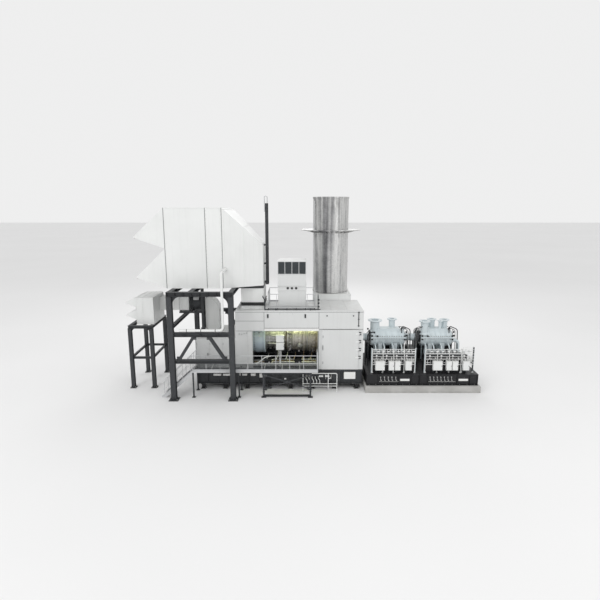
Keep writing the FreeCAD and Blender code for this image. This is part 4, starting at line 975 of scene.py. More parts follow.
def auxiliary_bay():
    low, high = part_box("auxiliary_bay")
    piece = Piece("auxiliary_bay_panels", ENCLOSURE)
    piece.block((low.x + 0.02, low.y + 0.02, low.z), (high.x, high.y - 0.02, high.z - 0.02), SEAM)
    seams = spread(low.x, high.x, 4)
    for left, right in zip(seams, seams[1:]):
        for y, way in ((low.y, -1), (high.y, 1)):
            face = sorted((y, y - way * 0.03))
            face_panel(piece, (left + 0.004, face[0], low.z + 0.01), (right - 0.004, face[1],
                    high.z - 0.03), way, ENCLOSURE, 7)
            piece.about((right - 0.12, y + way * 0.03, 2.6), (0.03, 0.05, 0.2), CHARCOAL)
            piece.about((right - 0.12, y + way * 0.008, 2.6), (0.07, 0.016, 0.28), SEAM)
            for z in (1.9, 3.4):
                piece.about((left + 0.05, y + way * 0.012, z), (0.05, 0.024, 0.14), SEAM)
    for bottom, top in spans(low.y + 0.02, high.y - 0.02, 4):
        piece.block((low.x, bottom + 0.004, low.z + 0.01), (low.x + 0.03, top - 0.004, high.z - 0.03))
    for left, right in spans(low.x, high.x, 5):
        piece.block((left + 0.004, low.y, high.z - 0.026), (right - 0.004, high.y, high.z))
    piece.done("white_panel", "auxiliary_bay", bevel=0.004)


def roof_deck():
    low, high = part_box("enclosure_roof")
    piece = Piece("enclosure_roof_panels", ENCLOSURE)
    piece.block((low.x, low.y, low.z), (high.x, high.y, high.z - 0.02))
    for left, right in spans(low.x, high.x, 9):
        piece.block((left + 0.006, low.y + 0.03, high.z - 0.025), (right - 0.006, high.y - 0.03, high.z))
    for y in (low.y + 0.012, high.y - 0.03):
        piece.block((low.x, y, high.z - 0.02), (high.x, y + 0.018, high.z + 0.03))
    piece.done("white_panel", "enclosure_roof", bevel=0.004)


def roof_gear():
    """Cable tray, pipes, small fittings and handrails on the roof around the air outlet tower."""
    gear = Piece("roof_pipes_and_tray", SEAM)
    left, right = HEADER_LEFT + 0.1, BAY_MIDDLE - 0.1
    for y in (FRONT + 0.22, FRONT + 0.5):
        gear.block((left, y, ROOF + 0.16), (right, y + 0.012, ROOF + 0.26))
    for x in spread(left + 0.05, right - 0.05, 28):
        gear.block((x - 0.02, FRONT + 0.22, ROOF + 0.16), (x + 0.02, FRONT + 0.51, ROOF + 0.175))
    for number, y in enumerate((FRONT + 0.27, FRONT + 0.32, FRONT + 0.37, FRONT + 0.43)):
        gear.pipe([(left, y, ROOF + 0.2), ((left + right) / 2, y + 0.01, ROOF + 0.2),
                (right, y, ROOF + 0.2)], 0.016 + 0.004 * (number % 2), CHARCOAL, 0.3, 8)
    for x in spread(left + 0.2, right - 0.2, 6):
        gear.about((x, FRONT + 0.365, ROOF + 0.08), (0.05, 0.24, 0.16), CHARCOAL)
    gear.pipe([(left, FRONT + 0.12, ROOF + 0.09), (right + 0.2, FRONT + 0.12, ROOF + 0.09)], 0.035,
            CHARCOAL, 0.1, 10)
    for x in (HEADER_LEFT + 0.84, HEADER_LEFT + 3.3):
        gear.lathe((x, FRONT + 0.1, ROOF), UP, [(0, 0), (0, 0.06), (0.12, 0.05), (0.16, 0.03), (0.16, 0)],
                CHARCOAL, 16)
    x = BAY_MIDDLE - 0.05
    for y in (FRONT + 0.35, FRONT + 0.75):
        gear.bar((x, y, ROOF - 0.1), (x, y, ROOF + 1.05), 0.04, 0.05, CHARCOAL)
    for z in spread(ROOF + 0.1, ROOF + 1.0, 4):
        gear.rod((x, FRONT + 0.35, z), (x, FRONT + 0.75, z), 0.014, CHARCOAL, 8)
    for z in (ROOF + 0.25, ROOF + 0.5, ROOF + 0.75):
        gear.about((x + 0.02, FRONT + 0.3, z), (0.14, 0.12, 0.1), CHARCOAL)
    gear.pipe([(HEADER_LEFT + 0.05, FRONT + 0.3, ROOF), (HEADER_LEFT + 0.05, FRONT + 0.3, ROOF + 0.75),
            (HEADER_LEFT - 0.1, FRONT + 0.3, ROOF + 0.95), (HEADER_LEFT - 0.1, FRONT + 0.6, ROOF + 0.95)],
            0.04, CHARCOAL, 0.15, 10)
    gear.done("rail_paint")


def roof_handrails():
    low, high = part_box("roof_rails")
    rails = Piece("roof_handrails", RAIL)
    tall = high.z - low.z
    handrail(rails, (low.x + 0.02, high.y - 0.02, low.z), (high.x - 0.02, high.y - 0.02, low.z), tall, 6)
    for x in (low.x + 0.02, high.x - 0.02):
        handrail(rails, (x, low.y, low.z), (x, high.y - 0.05, low.z), tall, 4)
    for start, end in ((HEADER_LEFT + 0.3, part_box("vent_tower")[0].x - 0.06),
            (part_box("vent_tower")[1].x + 0.06, BAY_MIDDLE - 0.3)):
        handrail(rails, (start, FRONT + 0.7, ROOF), (end, FRONT + 0.7, ROOF), tall, 2)
    rails.done("rail_paint", "roof_rails")


def handrail(piece, start, end, tall, posts, finish=None, radius=0.021):
    """Posts, top rail, mid rail and toe strip between two points at floor level."""
    start, end = Vector(start), Vector(end)
    finish = finish or RAIL
    for share in (1.0, 0.52):
        lift = UP * (tall * share - radius)
        piece.rod(start + lift, end + lift, radius if share == 1 else radius * 0.75, finish, 10)
    for k in range(posts):
        foot = start.lerp(end, k / (posts - 1))
        piece.rod(foot, foot + UP * (tall - radius), radius * 0.9, finish, 10)
        piece.about(foot + UP * 0.008, (0.09, 0.09, 0.016), finish)
    run = (end - start).normalized()
    piece.bar(start + UP * 0.06, end + UP * 0.06, 0.008, 0.1, finish, side=run.cross(UP))


def exhaust_door():
    low, high = DOOR_LOW, DOOR_HIGH
    face = low.y + 0.055
    piece = Piece("exhaust_bay_door", ENCLOSURE)
    piece.block((low.x, face, low.z), (high.x, high.y - 0.012, high.z))
    piece.block((low.x + 0.03, high.y - 0.013, low.z + 0.03), (high.x - 0.03, high.y, high.z - 0.03),
            RUBBER)
    for x in (low.x + 0.06, high.x - 0.06):
        piece.bolt_row((x, face, low.z + 0.12), (x, face, high.z - 0.12), 12, (0, -1, 0), 0.014)
    for z in (low.z + 0.06, high.z - 0.06):
        piece.bolt_row((low.x + 0.2, face, z), (high.x - 0.2, face, z), 11, (0, -1, 0), 0.014)
    handle_x, middle = low.x + 0.11, (low.z + high.z) / 2
    piece.about((handle_x, face - 0.006, middle + 0.16), (0.07, 0.012, 0.42), SEAM)
    piece.pipe([(handle_x, face, middle + 0.02), (handle_x, low.y + 0.018, middle + 0.02),
            (handle_x, low.y + 0.018, middle + 0.3), (handle_x, face, middle + 0.3)], 0.014, CHARCOAL, 0.04,
            10)
    for z in (low.z + 0.5, high.z - 0.5):
        piece.about((handle_x, face - 0.008, z), (0.06, 0.016, 0.16), SEAM)
        piece.bar((handle_x, face - 0.022, z - 0.06), (handle_x + 0.02, face - 0.022, z + 0.08), 0.02,
                0.014, CHARCOAL)
    piece.done("white_panel", "exhaust_door", bevel=0.004, body="door")


# ------------------------------------------------------------------------------------ turbine

def ring_at(x, radius, turn):
    """Place on a circle about the shaft; turn 0 is towards the walkway and 90 degrees straight up."""
    return at(x, SHAFT_Y, SHAFT_Z) + outward(turn) * radius


def outward(turn):
    return at(0, -math.cos(turn), math.sin(turn))


def flange(piece, x, radius, outer, thick, finish, bolts, size=0.035):
    piece.ring((x, SHAFT_Y, SHAFT_Z), ALONG, radius * 0.9, outer, thick, finish, 64)
    for way in (-1, 1):
        piece.bolt_ring((x + way * thick / 2, SHAFT_Y, SHAFT_Z), ALONG * way, (radius + outer) / 2 + 0.01,
                bolts, size)


def inlet_casing():
    low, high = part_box("turbine_inlet_casing")
    radius = 1.18
    piece = Piece("turbine_inlet_barrel", INLET)
    long = high.x - low.x
    piece.lathe((low.x, SHAFT_Y, SHAFT_Z), ALONG, [(0, 0), (0, radius - 0.1), (0.06, radius - 0.05),
            (0.06, radius), (0.14, radius), (0.14, radius - 0.03), (long - 0.35, radius - 0.03),
            (long - 0.25, radius - 0.05), (long - 0.12, radius - 0.06), (long - 0.12, radius), (long - 0.02,
            radius), (long, radius - 0.02), (long, radius - 0.35), (long - 0.06, radius - 0.42),
            (long - 0.06, 0)], INLET, 72)
    piece.bolt_ring((high.x, SHAFT_Y, SHAFT_Z), ALONG, radius - 0.12, 36, 0.034)
    for turn in spread(-0.9, 0.9, 12):
        piece.bolt(ring_at(low.x + 1.08, radius - 0.03, turn), outward(turn), 0.05, CHARCOAL)
    for turn in spread(0.3, 1.25, 5):
        foot = ring_at(low.x + 1.45, radius - 0.03, turn)
        out = outward(turn)
        piece.lathe(foot, out, [(-0.02, 0), (-0.02, 0.05), (0.05, 0.05), (0.05, 0.03), (0.1, 0.03),
                (0.1, 0)], STEEL, 14)
        piece.pipe([foot + out * 0.08, foot + out * 0.14, foot + out * 0.14 + ALONG * 0.22,
                foot + ALONG * 0.22 + out * 0.02], 0.012, STEEL, 0.05, 8)
    neck = (low.x + 0.2, high.x - 0.12, SHAFT_Y - 0.98, SHAFT_Y + 0.98)
    piece.block((neck[0], neck[2], SHAFT_Z), (neck[1], neck[3], high.z))
    for x in spread(neck[0] + 0.1, neck[1] - 0.1, 5):
        piece.block((x - 0.01, neck[2] - 0.05, SHAFT_Z + 0.7), (x + 0.01, neck[3] + 0.05, high.z))
    piece.block((neck[0] - 0.06, neck[2] - 0.06, high.z - 0.3), (neck[1] + 0.06, neck[3] + 0.06,
            high.z - 0.24))
    piece.done("inlet_paint", "turbine_inlet_casing")


def compressor_section():
    low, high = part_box("compressor_casing")
    start, end = low.x, high.x
    radius = (high.z - low.z) / 2 - 0.13
    piece = Piece("turbine_compressor_section", CASING)
    long = end - start
    steps = [(0, 0), (0, radius + 0.02)]
    for x in spread(0.12, long - 0.12, 7):
        steps += [(x - 0.035, radius - 0.02), (x - 0.03, radius + 0.045), (x + 0.03, radius + 0.045),
                (x + 0.035, radius - 0.02)]
    piece.lathe((start, SHAFT_Y, SHAFT_Z), ALONG, steps + [(long, radius - 0.02), (long, 0)], CASING, 72)
    for x in (start + 0.045, end - 0.045):
        flange(piece, x, radius, radius + 0.13, 0.08, CASING, 44, 0.034)
    for x in spread(start + 0.3, end - 0.35, 4):
        piece.ring((x, SHAFT_Y, SHAFT_Z), ALONG, radius + 0.055, radius + 0.085, 0.035, STEEL, 64)
        for k in range(40):
            turn = math.tau * k / 40
            foot, tip = ring_at(x + 0.1, radius - 0.02, turn), ring_at(x + 0.1, radius + 0.08, turn)
            piece.rod(foot, tip, 0.014, BOLT, 6)
            piece.bar(tip, ring_at(x, radius + 0.075, turn + 0.03), 0.018, 0.008, STEEL)
    split_line(piece, start + 0.1, end - 0.1, radius, CASING, 16)
    for turn, out in ((0.35, 0.2), (-0.25, 0.17), (0.9, 0.22), (2.6, 0.2)):
        piece.pipe([ring_at(start + 0.15, radius, turn), ring_at(start + 0.15, radius + out, turn),
                ring_at(end - 0.2, radius + out, turn), ring_at(end - 0.2, radius, turn)], 0.035, STEEL,
                0.12, 10)
    piece.done("casing_metal", "compressor_casing")


def split_line(piece, start, end, radius, finish, bolts):
    """Bolted joint along both sides of a casing at shaft height."""
    for way in (-1, 1):
        y = SHAFT_Y + way * radius
        piece.about(((start + end) / 2, y + way * 0.035, SHAFT_Z), (end - start, 0.15, 0.1), finish)
        for x in spread(start + 0.05, end - 0.05, bolts):
            piece.bolt((x, y + way * 0.06, SHAFT_Z + 0.05), UP, 0.034)
            piece.bolt((x, y + way * 0.06, SHAFT_Z - 0.05), -UP, 0.034)


def combustor_section():
    low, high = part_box("combustor_casing")
    start, end = low.x, high.x
    large = (high.z - low.z) / 2 - 0.13
    small = large - 0.14
    piece = Piece("turbine_combustor_section", CASING)
    long = end - start
    piece.lathe((start, SHAFT_Y, SHAFT_Z), ALONG, [(0, 0), (0, small), (0.12, small), (0.3, large - 0.08),
            (0.36, large - 0.02), (0.42, large), (0.48, large), (0.5, large - 0.03),
            (long - 0.4, large - 0.03), (long - 0.38, large), (long - 0.3, large), (long - 0.12,
            large - 0.08), (long, large - 0.08), (long, 0)], CASING, 72)
    flange(piece, start + 0.045, small, small + 0.13, 0.08, CASING, 44)
    flange(piece, end - 0.045, large - 0.09, large + 0.08, 0.08, CASING, 52)
    burners = 18
    for k in range(burners):
        turn = math.tau * (k + 0.5) / burners
        out = outward(turn)
        lean = (out * 0.8 - ALONG * 0.6).normalized()
        foot = ring_at(start + 0.22, large - 0.14, turn)
        piece.lathe(foot, lean, [(-0.05, 0), (-0.05, 0.075), (0.06, 0.075), (0.06, 0.095), (0.09, 0.095),
                (0.09, 0.04), (0.17, 0.035), (0.17, 0)], STEEL, 16)
        piece.bolt_ring(foot + lean * 0.09, lean, 0.075, 6, 0.02)
        hose_top = foot + lean * 0.17
        piece.pipe([hose_top, hose_top + lean * 0.06, ring_at(start + 0.02, large + 0.09, turn + 0.06),
                ring_at(start, large + 0.03, turn + 0.1)], 0.016, COPPER if k % 3 == 0 else STEEL, 0.06, 8)
    for x, radius, thick, finish in ((start, large + 0.06, 0.034, STEEL), (start - 0.11, large, 0.024,
            COPPER)):
        hoop(piece, x, radius, thick, finish)
    for turn in spread(-1.1, 4.0, 9):
        foot = ring_at(end - 0.36, large, turn)
        out = outward(turn)
        piece.lathe(foot, out, [(-0.03, 0), (-0.03, 0.05), (0.04, 0.05), (0.04, 0.028), (0.12, 0.025),
                (0.12, 0)], STEEL, 12)
    port = ring_at(end + 0.04 - 0.35, large - 0.05, -0.35)
    out = outward(-0.35)
    piece.lathe(port, out, [(-0.1, 0), (-0.1, 0.15), (0.1, 0.15), (0.1, 0.19), (0.14, 0.19), (0.14, 0.12),
            (0.17, 0.11), (0.17, 0)], STEEL, 32)
    piece.bolt_ring(port + out * 0.14, out, 0.155, 12, 0.026)
    piece.done("casing_metal", "combustor_casing")


def hoop(piece, x, radius, thick, finish, sides=64):
    """Round pipe ring about the shaft."""
    rings, round_pipe = [], 8
    for k in range(sides):
        turn = math.tau * k / sides
        rings.append(piece.circle(ring_at(x, radius, turn), outward(turn), ALONG, thick, round_pipe))
    for near, far in zip(rings, rings[1:] + rings[:1]):
        for j in range(round_pipe):
            n = (j + 1) % round_pipe
            piece.face([near[j], near[n], far[n], far[j]], finish)


def power_section():
    low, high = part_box("power_turbine_casing")
    start, end = low.x, high.x
    radius = (high.z - low.z) / 2 - 0.13
    piece = Piece("turbine_power_section", CASING)
    long = end - start
    steps = [(0, 0), (0, radius - 0.06), (0.25, radius - 0.04)]
    for x in (0.35, 0.55, 0.78):
        steps += [(x - 0.05, radius - 0.03), (x - 0.04, radius + 0.04), (x + 0.04, radius + 0.04),
                (x + 0.05, radius - 0.03)]
    piece.lathe((start, SHAFT_Y, SHAFT_Z), ALONG, steps + [(long, radius), (long, 0)], CASING, 72)
    flange(piece, start + 0.045, radius - 0.06, radius + 0.07, 0.08, CASING, 52)
    flange(piece, end - 0.045, radius, radius + 0.13, 0.08, CASING, 52)
    flange(piece, start + 0.46, radius - 0.05, radius + 0.1, 0.07, CASING, 48, 0.045)
    for turn in spread(-1.2, 4.2, 14):
        foot = ring_at(start + 0.67, radius, turn)
        out = outward(turn)
        piece.lathe(foot, out, [(-0.05, 0), (-0.05, 0.045), (0.07, 0.045), (0.07, 0.03), (0.13, 0.026),
                (0.13, 0)], STEEL, 12)
        piece.pipe([foot + out * 0.12, foot + out * 0.17, foot + out * 0.17 + ALONG * 0.16,
                foot + ALONG * 0.22 + out * 0.05], 0.01, COPPER, 0.04, 8)
    hoop(piece, start + 0.24, radius + 0.09, 0.03, STEEL)
    hoop(piece, start + 0.9, radius + 0.1, 0.022, COPPER)
    piece.done("casing_metal", "power_turbine_casing")


def exhaust_collector():
    low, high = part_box("exhaust_collector")
    radius = 1.25
    start, long = low.x, high.x - low.x
    piece = Piece("exhaust_collector_shell", CASING)
    steps = [(0, 0), (0, radius - 0.12)]
    for x in spread(0.12, long - 0.12, 6):
        steps += [(x - 0.05, radius - 0.06), (x - 0.05, radius), (x + 0.05, radius),
                (x + 0.05, radius - 0.06)]
    piece.lathe((start, SHAFT_Y, SHAFT_Z), ALONG, steps + [(long, radius - 0.12), (long, 0)], CASING, 72)
    box = (low.x + 0.06, high.x - 0.06)
    piece.block((box[0] + 0.04, SHAFT_Y, SHAFT_Z - 0.86), (box[1] - 0.04, high.y, high.z - 0.04))
    for z in spread(SHAFT_Z - 0.8, high.z - 0.03, 7):
        piece.block((box[0], SHAFT_Y + 0.2, z - 0.02), (box[1], high.y, z + 0.02))
    for x in spread(box[0] + 0.03, box[1] - 0.03, 5):
        piece.block((x - 0.02, SHAFT_Y + 0.1, high.z - 0.06), (x + 0.02, high.y, high.z))
    piece.bolt_ring((start, SHAFT_Y, SHAFT_Z), -ALONG, radius - 0.2, 40, 0.04)
    piece.done("casing_metal", "exhaust_collector")


def turbine_supports():
    """Saddles under the casings, lube pipes and hoses below them, and the junction boxes in front."""
    low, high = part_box("turbine_saddles")
    piece = Piece("turbine_saddles_and_pipes", CHARCOAL)
    for x, radius in ((low.x + 0.1, 1.18), (low.x + 1.85, 0.8), (low.x + 4.4, 0.99), (high.x - 0.1, 1.25)):
        top = SHAFT_Z - radius * 0.73
        reach = radius * 0.68
        curve = [at(x - 0.09, SHAFT_Y + (radius - 0.01) * math.sin(a),
                SHAFT_Z - (radius - 0.01) * math.cos(a)) for a in spread(-0.74, 0.74, 15)]
        feet = [at(x - 0.09, SHAFT_Y + reach * 0.8, DECK), at(x - 0.09, SHAFT_Y - reach * 0.8, DECK)]
        piece.prism(curve + feet, at(0.18, 0, 0), BLACK)
        piece.block((x - 0.16, SHAFT_Y - reach, DECK), (x + 0.16, SHAFT_Y + reach, DECK + 0.04), BLACK)
        for y in spread(SHAFT_Y - reach + 0.06, SHAFT_Y + reach - 0.06, 6):
            for side in (-0.12, 0.12):
                piece.bolt((x + side, y, DECK + 0.04), UP, 0.045)
        for y in (SHAFT_Y - reach * 0.5, SHAFT_Y, SHAFT_Y + reach * 0.5):
            piece.block((x - 0.15, y - 0.012, DECK + 0.04), (x + 0.15, y + 0.012, top - 0.15), BLACK)
    base = DECK
    left, right = OPEN_LEFT + 0.05, BAY_MIDDLE - 0.15
    for number, (y, z, radius, finish) in enumerate(((SHAFT_Y - 1.3, base + 0.16, 0.05, STEEL),
            (SHAFT_Y - 1.15, base + 0.3, 0.035, COPPER), (SHAFT_Y - 1.45, base + 0.34, 0.028, STEEL),
            (SHAFT_Y - 1.05, base + 0.14, 0.06, CHARCOAL), (SHAFT_Y - 1.36, base + 0.5, 0.022, STEEL))):
        piece.pipe([(left, y, z), (left + 1.2, y, z), (left + 1.4, y + 0.08, z + 0.05), (right, y + 0.08,
                z + 0.05)], radius, finish, 0.12, 10)
        for x in spread(left + 0.4, right - 0.3, 5):
            piece.ring((x, y + (0.08 if x > left + 1.4 else 0), z + (0.05 if x > left + 1.4 else 0)), ALONG,
                    radius * 0.9, radius * 1.7, 0.03, BOLT, 14)
    for x, top in ((left + 0.9, 2.3), (left + 1.6, 2.5), (left + 2.3, 2.42), (left + 2.9, 2.36),
            (left + 3.5, 2.45), (left + 4.1, 2.4)):
        piece.pipe([(x, SHAFT_Y - 1.15, base + 0.3), (x, SHAFT_Y - 1.15, base + 0.55),
                (x + 0.12, SHAFT_Y - 0.9, base + 0.75), (x + 0.12, SHAFT_Y - 0.62, top)], 0.03,
                STEEL if x < left + 2.5 else COPPER, 0.12, 10)
        piece.lathe((x, SHAFT_Y - 1.15, base + 0.4), UP, plug(0.055, 0.09), CHARCOAL, 14)
    piece.pipe([(left + 0.05, SHAFT_Y - 1.55, base + 0.25), (left + 0.45, SHAFT_Y - 1.5, base + 0.45),
            (left + 0.75, SHAFT_Y - 1.4, base + 0.72), (left + 1.2, SHAFT_Y - 1.2, base + 0.76)], 0.045,
            WHITE, 0.2, 12)
    for x in spread(left + 0.3, right - 0.2, 8):
        piece.about((x, SHAFT_Y - 1.2, base + 0.07), (0.05, 0.75, 0.14))
    for x in (left + 1.0, left + 3.2):
        piece.about((x, SHAFT_Y - 1.52, base + 0.35), (0.5, 0.3, 0.5), BLACK)
        piece.lathe((x + 0.1, SHAFT_Y - 1.67, base + 0.45), -ACROSS, plug(0.07, 0.03), STEEL, 20)
        piece.bolt_row((x - 0.2, SHAFT_Y - 1.67, base + 0.15), (x + 0.2, SHAFT_Y - 1.67, base + 0.15), 5,
                (0, -1, 0), 0.02)
    top = SHAFT_Z + 1.35
    for number, y in enumerate(spread(SHAFT_Y - 1.2, SHAFT_Y - 0.5, 4)):
        piece.pipe([(left + 1.5, y, top + 0.02 * number), (left + 2.6, y, top + 0.02 * number),
                (left + 2.75, y + 0.05, top - 0.1), (right, y + 0.05, top - 0.1)],
                0.02 + 0.006 * (number % 3), (STEEL, COPPER, RUBBER, STEEL)[number], 0.1, 8)
    for x in spread(left + 1.7, right - 0.2, 9):
        piece.pipe([(x, SHAFT_Y - 1.0, top), (x, SHAFT_Y - 1.02, top - 0.15), (x + 0.05, SHAFT_Y - 0.95,
                top - 0.3), (x + 0.1, SHAFT_Y - 0.7, top - 0.48)], 0.014,
                RUBBER if int(x * 10) % 2 else COPPER, 0.08, 8)
    piece.done("black_base", "turbine_saddles")


def junction_boxes():
    low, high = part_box("junction_boxes")
    boxes = Piece("turbine_junction_boxes", WHITE)
    for foot in (2.8, 3.38):
        boxes.block((low.x, low.y, foot), (high.x, high.y - 0.02, foot + 0.54))
        boxes.block((low.x + 0.02, low.y - 0.012, foot + 0.02), (high.x - 0.02, low.y + 0.01, foot + 0.52))
        for x in (low.x + 0.05, high.x - 0.05):
            for z in (foot + 0.06, foot + 0.48):
                boxes.bolt((x, low.y - 0.012, z), (0, -1, 0), 0.018)
        boxes.about((high.x - 0.03, low.y - 0.02, foot + 0.27), (0.02, 0.02, 0.08), CHARCOAL)
    conduit = low.x + 0.29
    for dx, radius in ((0, 0.03), (-0.09, 0.018), (0.09, 0.022)):
        boxes.pipe([(conduit + dx, low.y + 0.1, 2.81), (conduit + dx, low.y + 0.1, 2.3),
                (conduit + dx * 0.6, low.y + 0.12, 2.1), (conduit + dx * 0.6, low.y + 0.12, DECK)], radius,
                WHITE if dx == 0 else SEAM, 0.1, 10)
        boxes.lathe((conduit + dx, low.y + 0.1, 2.74), UP, plug(radius * 1.5, 0.07), SEAM, 12)
    boxes.done("white_panel", "junction_boxes", bevel=0.004)


# ------------------------------------------------------------------------------------ ventilation

def louvre_bay(piece, low, high, way, blades):
    """Frame with sloping blades in a wall that faces way along Y."""
    face, back = (low[1], high[1]) if way < 0 else (high[1], low[1])
    edge = 0.035
    near, far = min(face, back), max(face, back)
    piece.block((low[0], near, low[2]), (low[0] + edge, far, high[2]), LOUVRE)
    piece.block((high[0] - edge, near, low[2]), (high[0], far, high[2]), LOUVRE)
    for z in (low[2], high[2] - edge):
        piece.block((low[0] + edge, near, z), (high[0] - edge, far, z + edge), LOUVRE)
    for z in spread(low[2] + edge + 0.02, high[2] - edge - 0.02, blades):
        ring = [at(low[0] + edge * 0.9, face - way * 0.006, z - 0.022), at(low[0] + edge * 0.9,
                face - way * 0.002, z - 0.03), at(low[0] + edge * 0.9, back, z + 0.012),
                at(low[0] + edge * 0.9, back, z + 0.022)]
        piece.prism(ring, ALONG * (high[0] - low[0] - edge * 1.8), LOUVRE)


def air_outlet_tower():
    low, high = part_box("vent_tower")
    lip = 0.04
    x0, x1, y0, y1 = low.x + lip, high.x - lip, low.y + lip, high.y - lip
    strip, waist, lid, head = ROOF + 1.33, ROOF + 1.64, ROOF + 2.52, high.z
    piece = Piece("air_outlet_tower", ENCLOSURE)
    piece.block((x0, y0, ROOF), (x1, y1, strip - 0.01))
    piece.block((x0 + 0.01, y0 + 0.01, strip - 0.02), (x1 - 0.01, y1 - 0.01, head - 0.05), SEAM)
    piece.block((x0, y0, strip), (x1, y1, waist))
    piece.block((low.x, low.y, waist - 0.05), (high.x, high.y, waist))
    piece.block((low.x + 0.01, low.y + 0.01, strip - 0.03), (high.x - 0.01, high.y - 0.01, strip))
    piece.block((x0, y0, waist + 0.008), (x1, y1, lid))
    piece.block((low.x, low.y, head - 0.05), (high.x, high.y, head))
    piece.block((low.x + 0.01, low.y + 0.01, lid - 0.04), (high.x - 0.01, high.y - 0.01, lid))
    for x in (x0 - 0.01, x1 - 0.05):
        for y in (y0 - 0.01, y1 - 0.05):
            piece.block((x, y, lid), (x + 0.06, y + 0.06, head - 0.05))
    for x in spread(x0, x1, 5)[1:-1]:
        for y in (y0 - 0.02, y1 - 0.02):
            piece.block((x - 0.022, y, lid), (x + 0.022, y + 0.04, head - 0.05))
    for y, way in ((y0, -1), (y1, 1)):
        for x in (-0.3, 0.0, 0.3):
            spot = ((x0 + x1) / 2 + x, y - way * 0.02, (strip + waist) / 2)
            piece.lathe(spot, (0, way, 0), plug(0.085, 0.024), RUBBER, 28)
            piece.ring(Vector(spot) + at(0, way * 0.02, 0), ACROSS, 0.085, 0.11, 0.02, SEAM, 28)
        piece.bolt_row((x0 + 0.08, low.y if way < 0 else high.y, waist - 0.025),
                (x1 - 0.08, low.y if way < 0 else high.y, waist - 0.025), 14, (0, way, 0), 0.018)
        for x in (x0 + 0.06, x1 - 0.06):
            piece.bolt_row((x, y, ROOF + 0.12), (x, y, strip - 0.12), 8, (0, way, 0), 0.016)
    for x, way in ((x0, -1), (x1, 1)):
        for y in (y0 + 0.06, y1 - 0.06):
            piece.bolt_row((x, y, ROOF + 0.12), (x, y, strip - 0.12), 8, (way, 0, 0), 0.016)
        piece.about((x + way * 0.01, (y0 + y1) / 2, ROOF + 0.72), (0.03, 0.9, 0.9))
        piece.bolt_row((x + way * 0.025, (y0 + y1) / 2 - 0.4, ROOF + 1.12), (x + way * 0.025,
                (y0 + y1) / 2 + 0.4, ROOF + 1.12), 6, (way, 0, 0), 0.016)
    for a, b in (((x0 - 0.03, y0 - 0.03), (x1 + 0.03, y0 + 0.02)), ((x0 - 0.03, y1 - 0.02),
            (x1 + 0.03, y1 + 0.03)), ((x0 - 0.03, y0 - 0.03), (x0 + 0.02, y1 + 0.03)),
            ((x1 - 0.02, y0 - 0.03), (x1 + 0.03, y1 + 0.03))):
        piece.block((*a, ROOF), (*b, ROOF + 0.06), SEAM)
    piece.done("white_panel", "vent_tower", bevel=0.004)
    louvres = Piece("air_outlet_louvres", LOUVRE)
    gap = 0.025
    for left, right in spans(x0, x1, 5):
        for y, way in ((y0 - lip, -1), (y1, 1)):
            louvre_bay(louvres, (left + gap, y, lid + 0.01), (right - gap, y + lip + 0.01, head - 0.055),
                    way, 16)
    louvres.done("louvre_dark", "tower_louvres")


DUCT_LOW, DUCT_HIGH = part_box("vent_duct")
FAN_LOW, FAN_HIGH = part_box("vent_fan")
DUCT_SIZE = 1.02
DUCT_FLOOR = DUCT_HIGH.z - DUCT_SIZE


def vent_filter():
    low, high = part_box("vent_filter_box")
    piece = Piece("vent_filter_shell", WHITE)
    panelled_box(piece, low, high, WHITE, WHITE, (0, 0.357, 1), (0, 1), 0.015, 0.045)
    for x in (low.x + 0.5, high.x - 0.07):
        for y, way in ((low.y + 0.01, -1), (high.y - 0.01, 1)):
            piece.bolt_row((x, y, low.z + 0.12), (x, y, high.z - 0.12), 10, (0, way, 0), 0.016)
    piece.done("white_panel", "vent_filter_box", bevel=0.004)


def vent_duct():
    piece = Piece("vent_air_duct", WHITE)
    y0, y1 = DUCT_LOW.y, DUCT_HIGH.y
    panelled_box(piece, (DUCT_LOW.x, y0, DUCT_FLOOR), (FAN_LOW.x, y1, DUCT_HIGH.z), WHITE, WHITE,
            (0, 0.25, 0.5, 0.75, 1), (), 0.02, 0.05)
    joints = [(DUCT_LOW.x + (FAN_LOW.x - DUCT_LOW.x) * share) for share in (0.25, 0.5, 0.75)]
    for x in joints:
        piece.bolt_row((x, y0, DUCT_FLOOR + 0.08), (x, y0, DUCT_HIGH.z - 0.08), 8, (0, -1, 0), 0.016)
    turn_x = FAN_HIGH.x
    arc = [at(turn_x + DUCT_SIZE * math.sin(a), y0 + 0.015, DUCT_FLOOR + DUCT_SIZE * math.cos(a))
            for a in spread(0, math.pi / 2, 13)]
    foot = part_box("vent_duct")[0].z
    elbow = [at(turn_x, y0 + 0.015, foot), at(turn_x, y0 + 0.015, DUCT_FLOOR), *arc, at(turn_x + DUCT_SIZE,
            y0 + 0.015, foot)]
    piece.prism(elbow, ACROSS * (DUCT_SIZE - 0.03))
    for a, b in zip(arc, arc[1:]):
        for y in (y0, y1 - 0.03):
            mid = (a + b) / 2
            inward = (at(turn_x, mid.y, DUCT_FLOOR) - mid).normalized()
            piece.bar(at(a.x, y + 0.015, a.z) + inward * 0.02, at(b.x, y + 0.015, b.z) + inward * 0.02,
                    0.03, 0.04, side=(0, 1, 0))
    for z in (foot + 0.03, foot + 0.8, DUCT_FLOOR):
        piece.block((turn_x, y0, z - 0.03), (turn_x + DUCT_SIZE, y1, z + 0.03))
    piece.done("white_panel", "vent_duct")


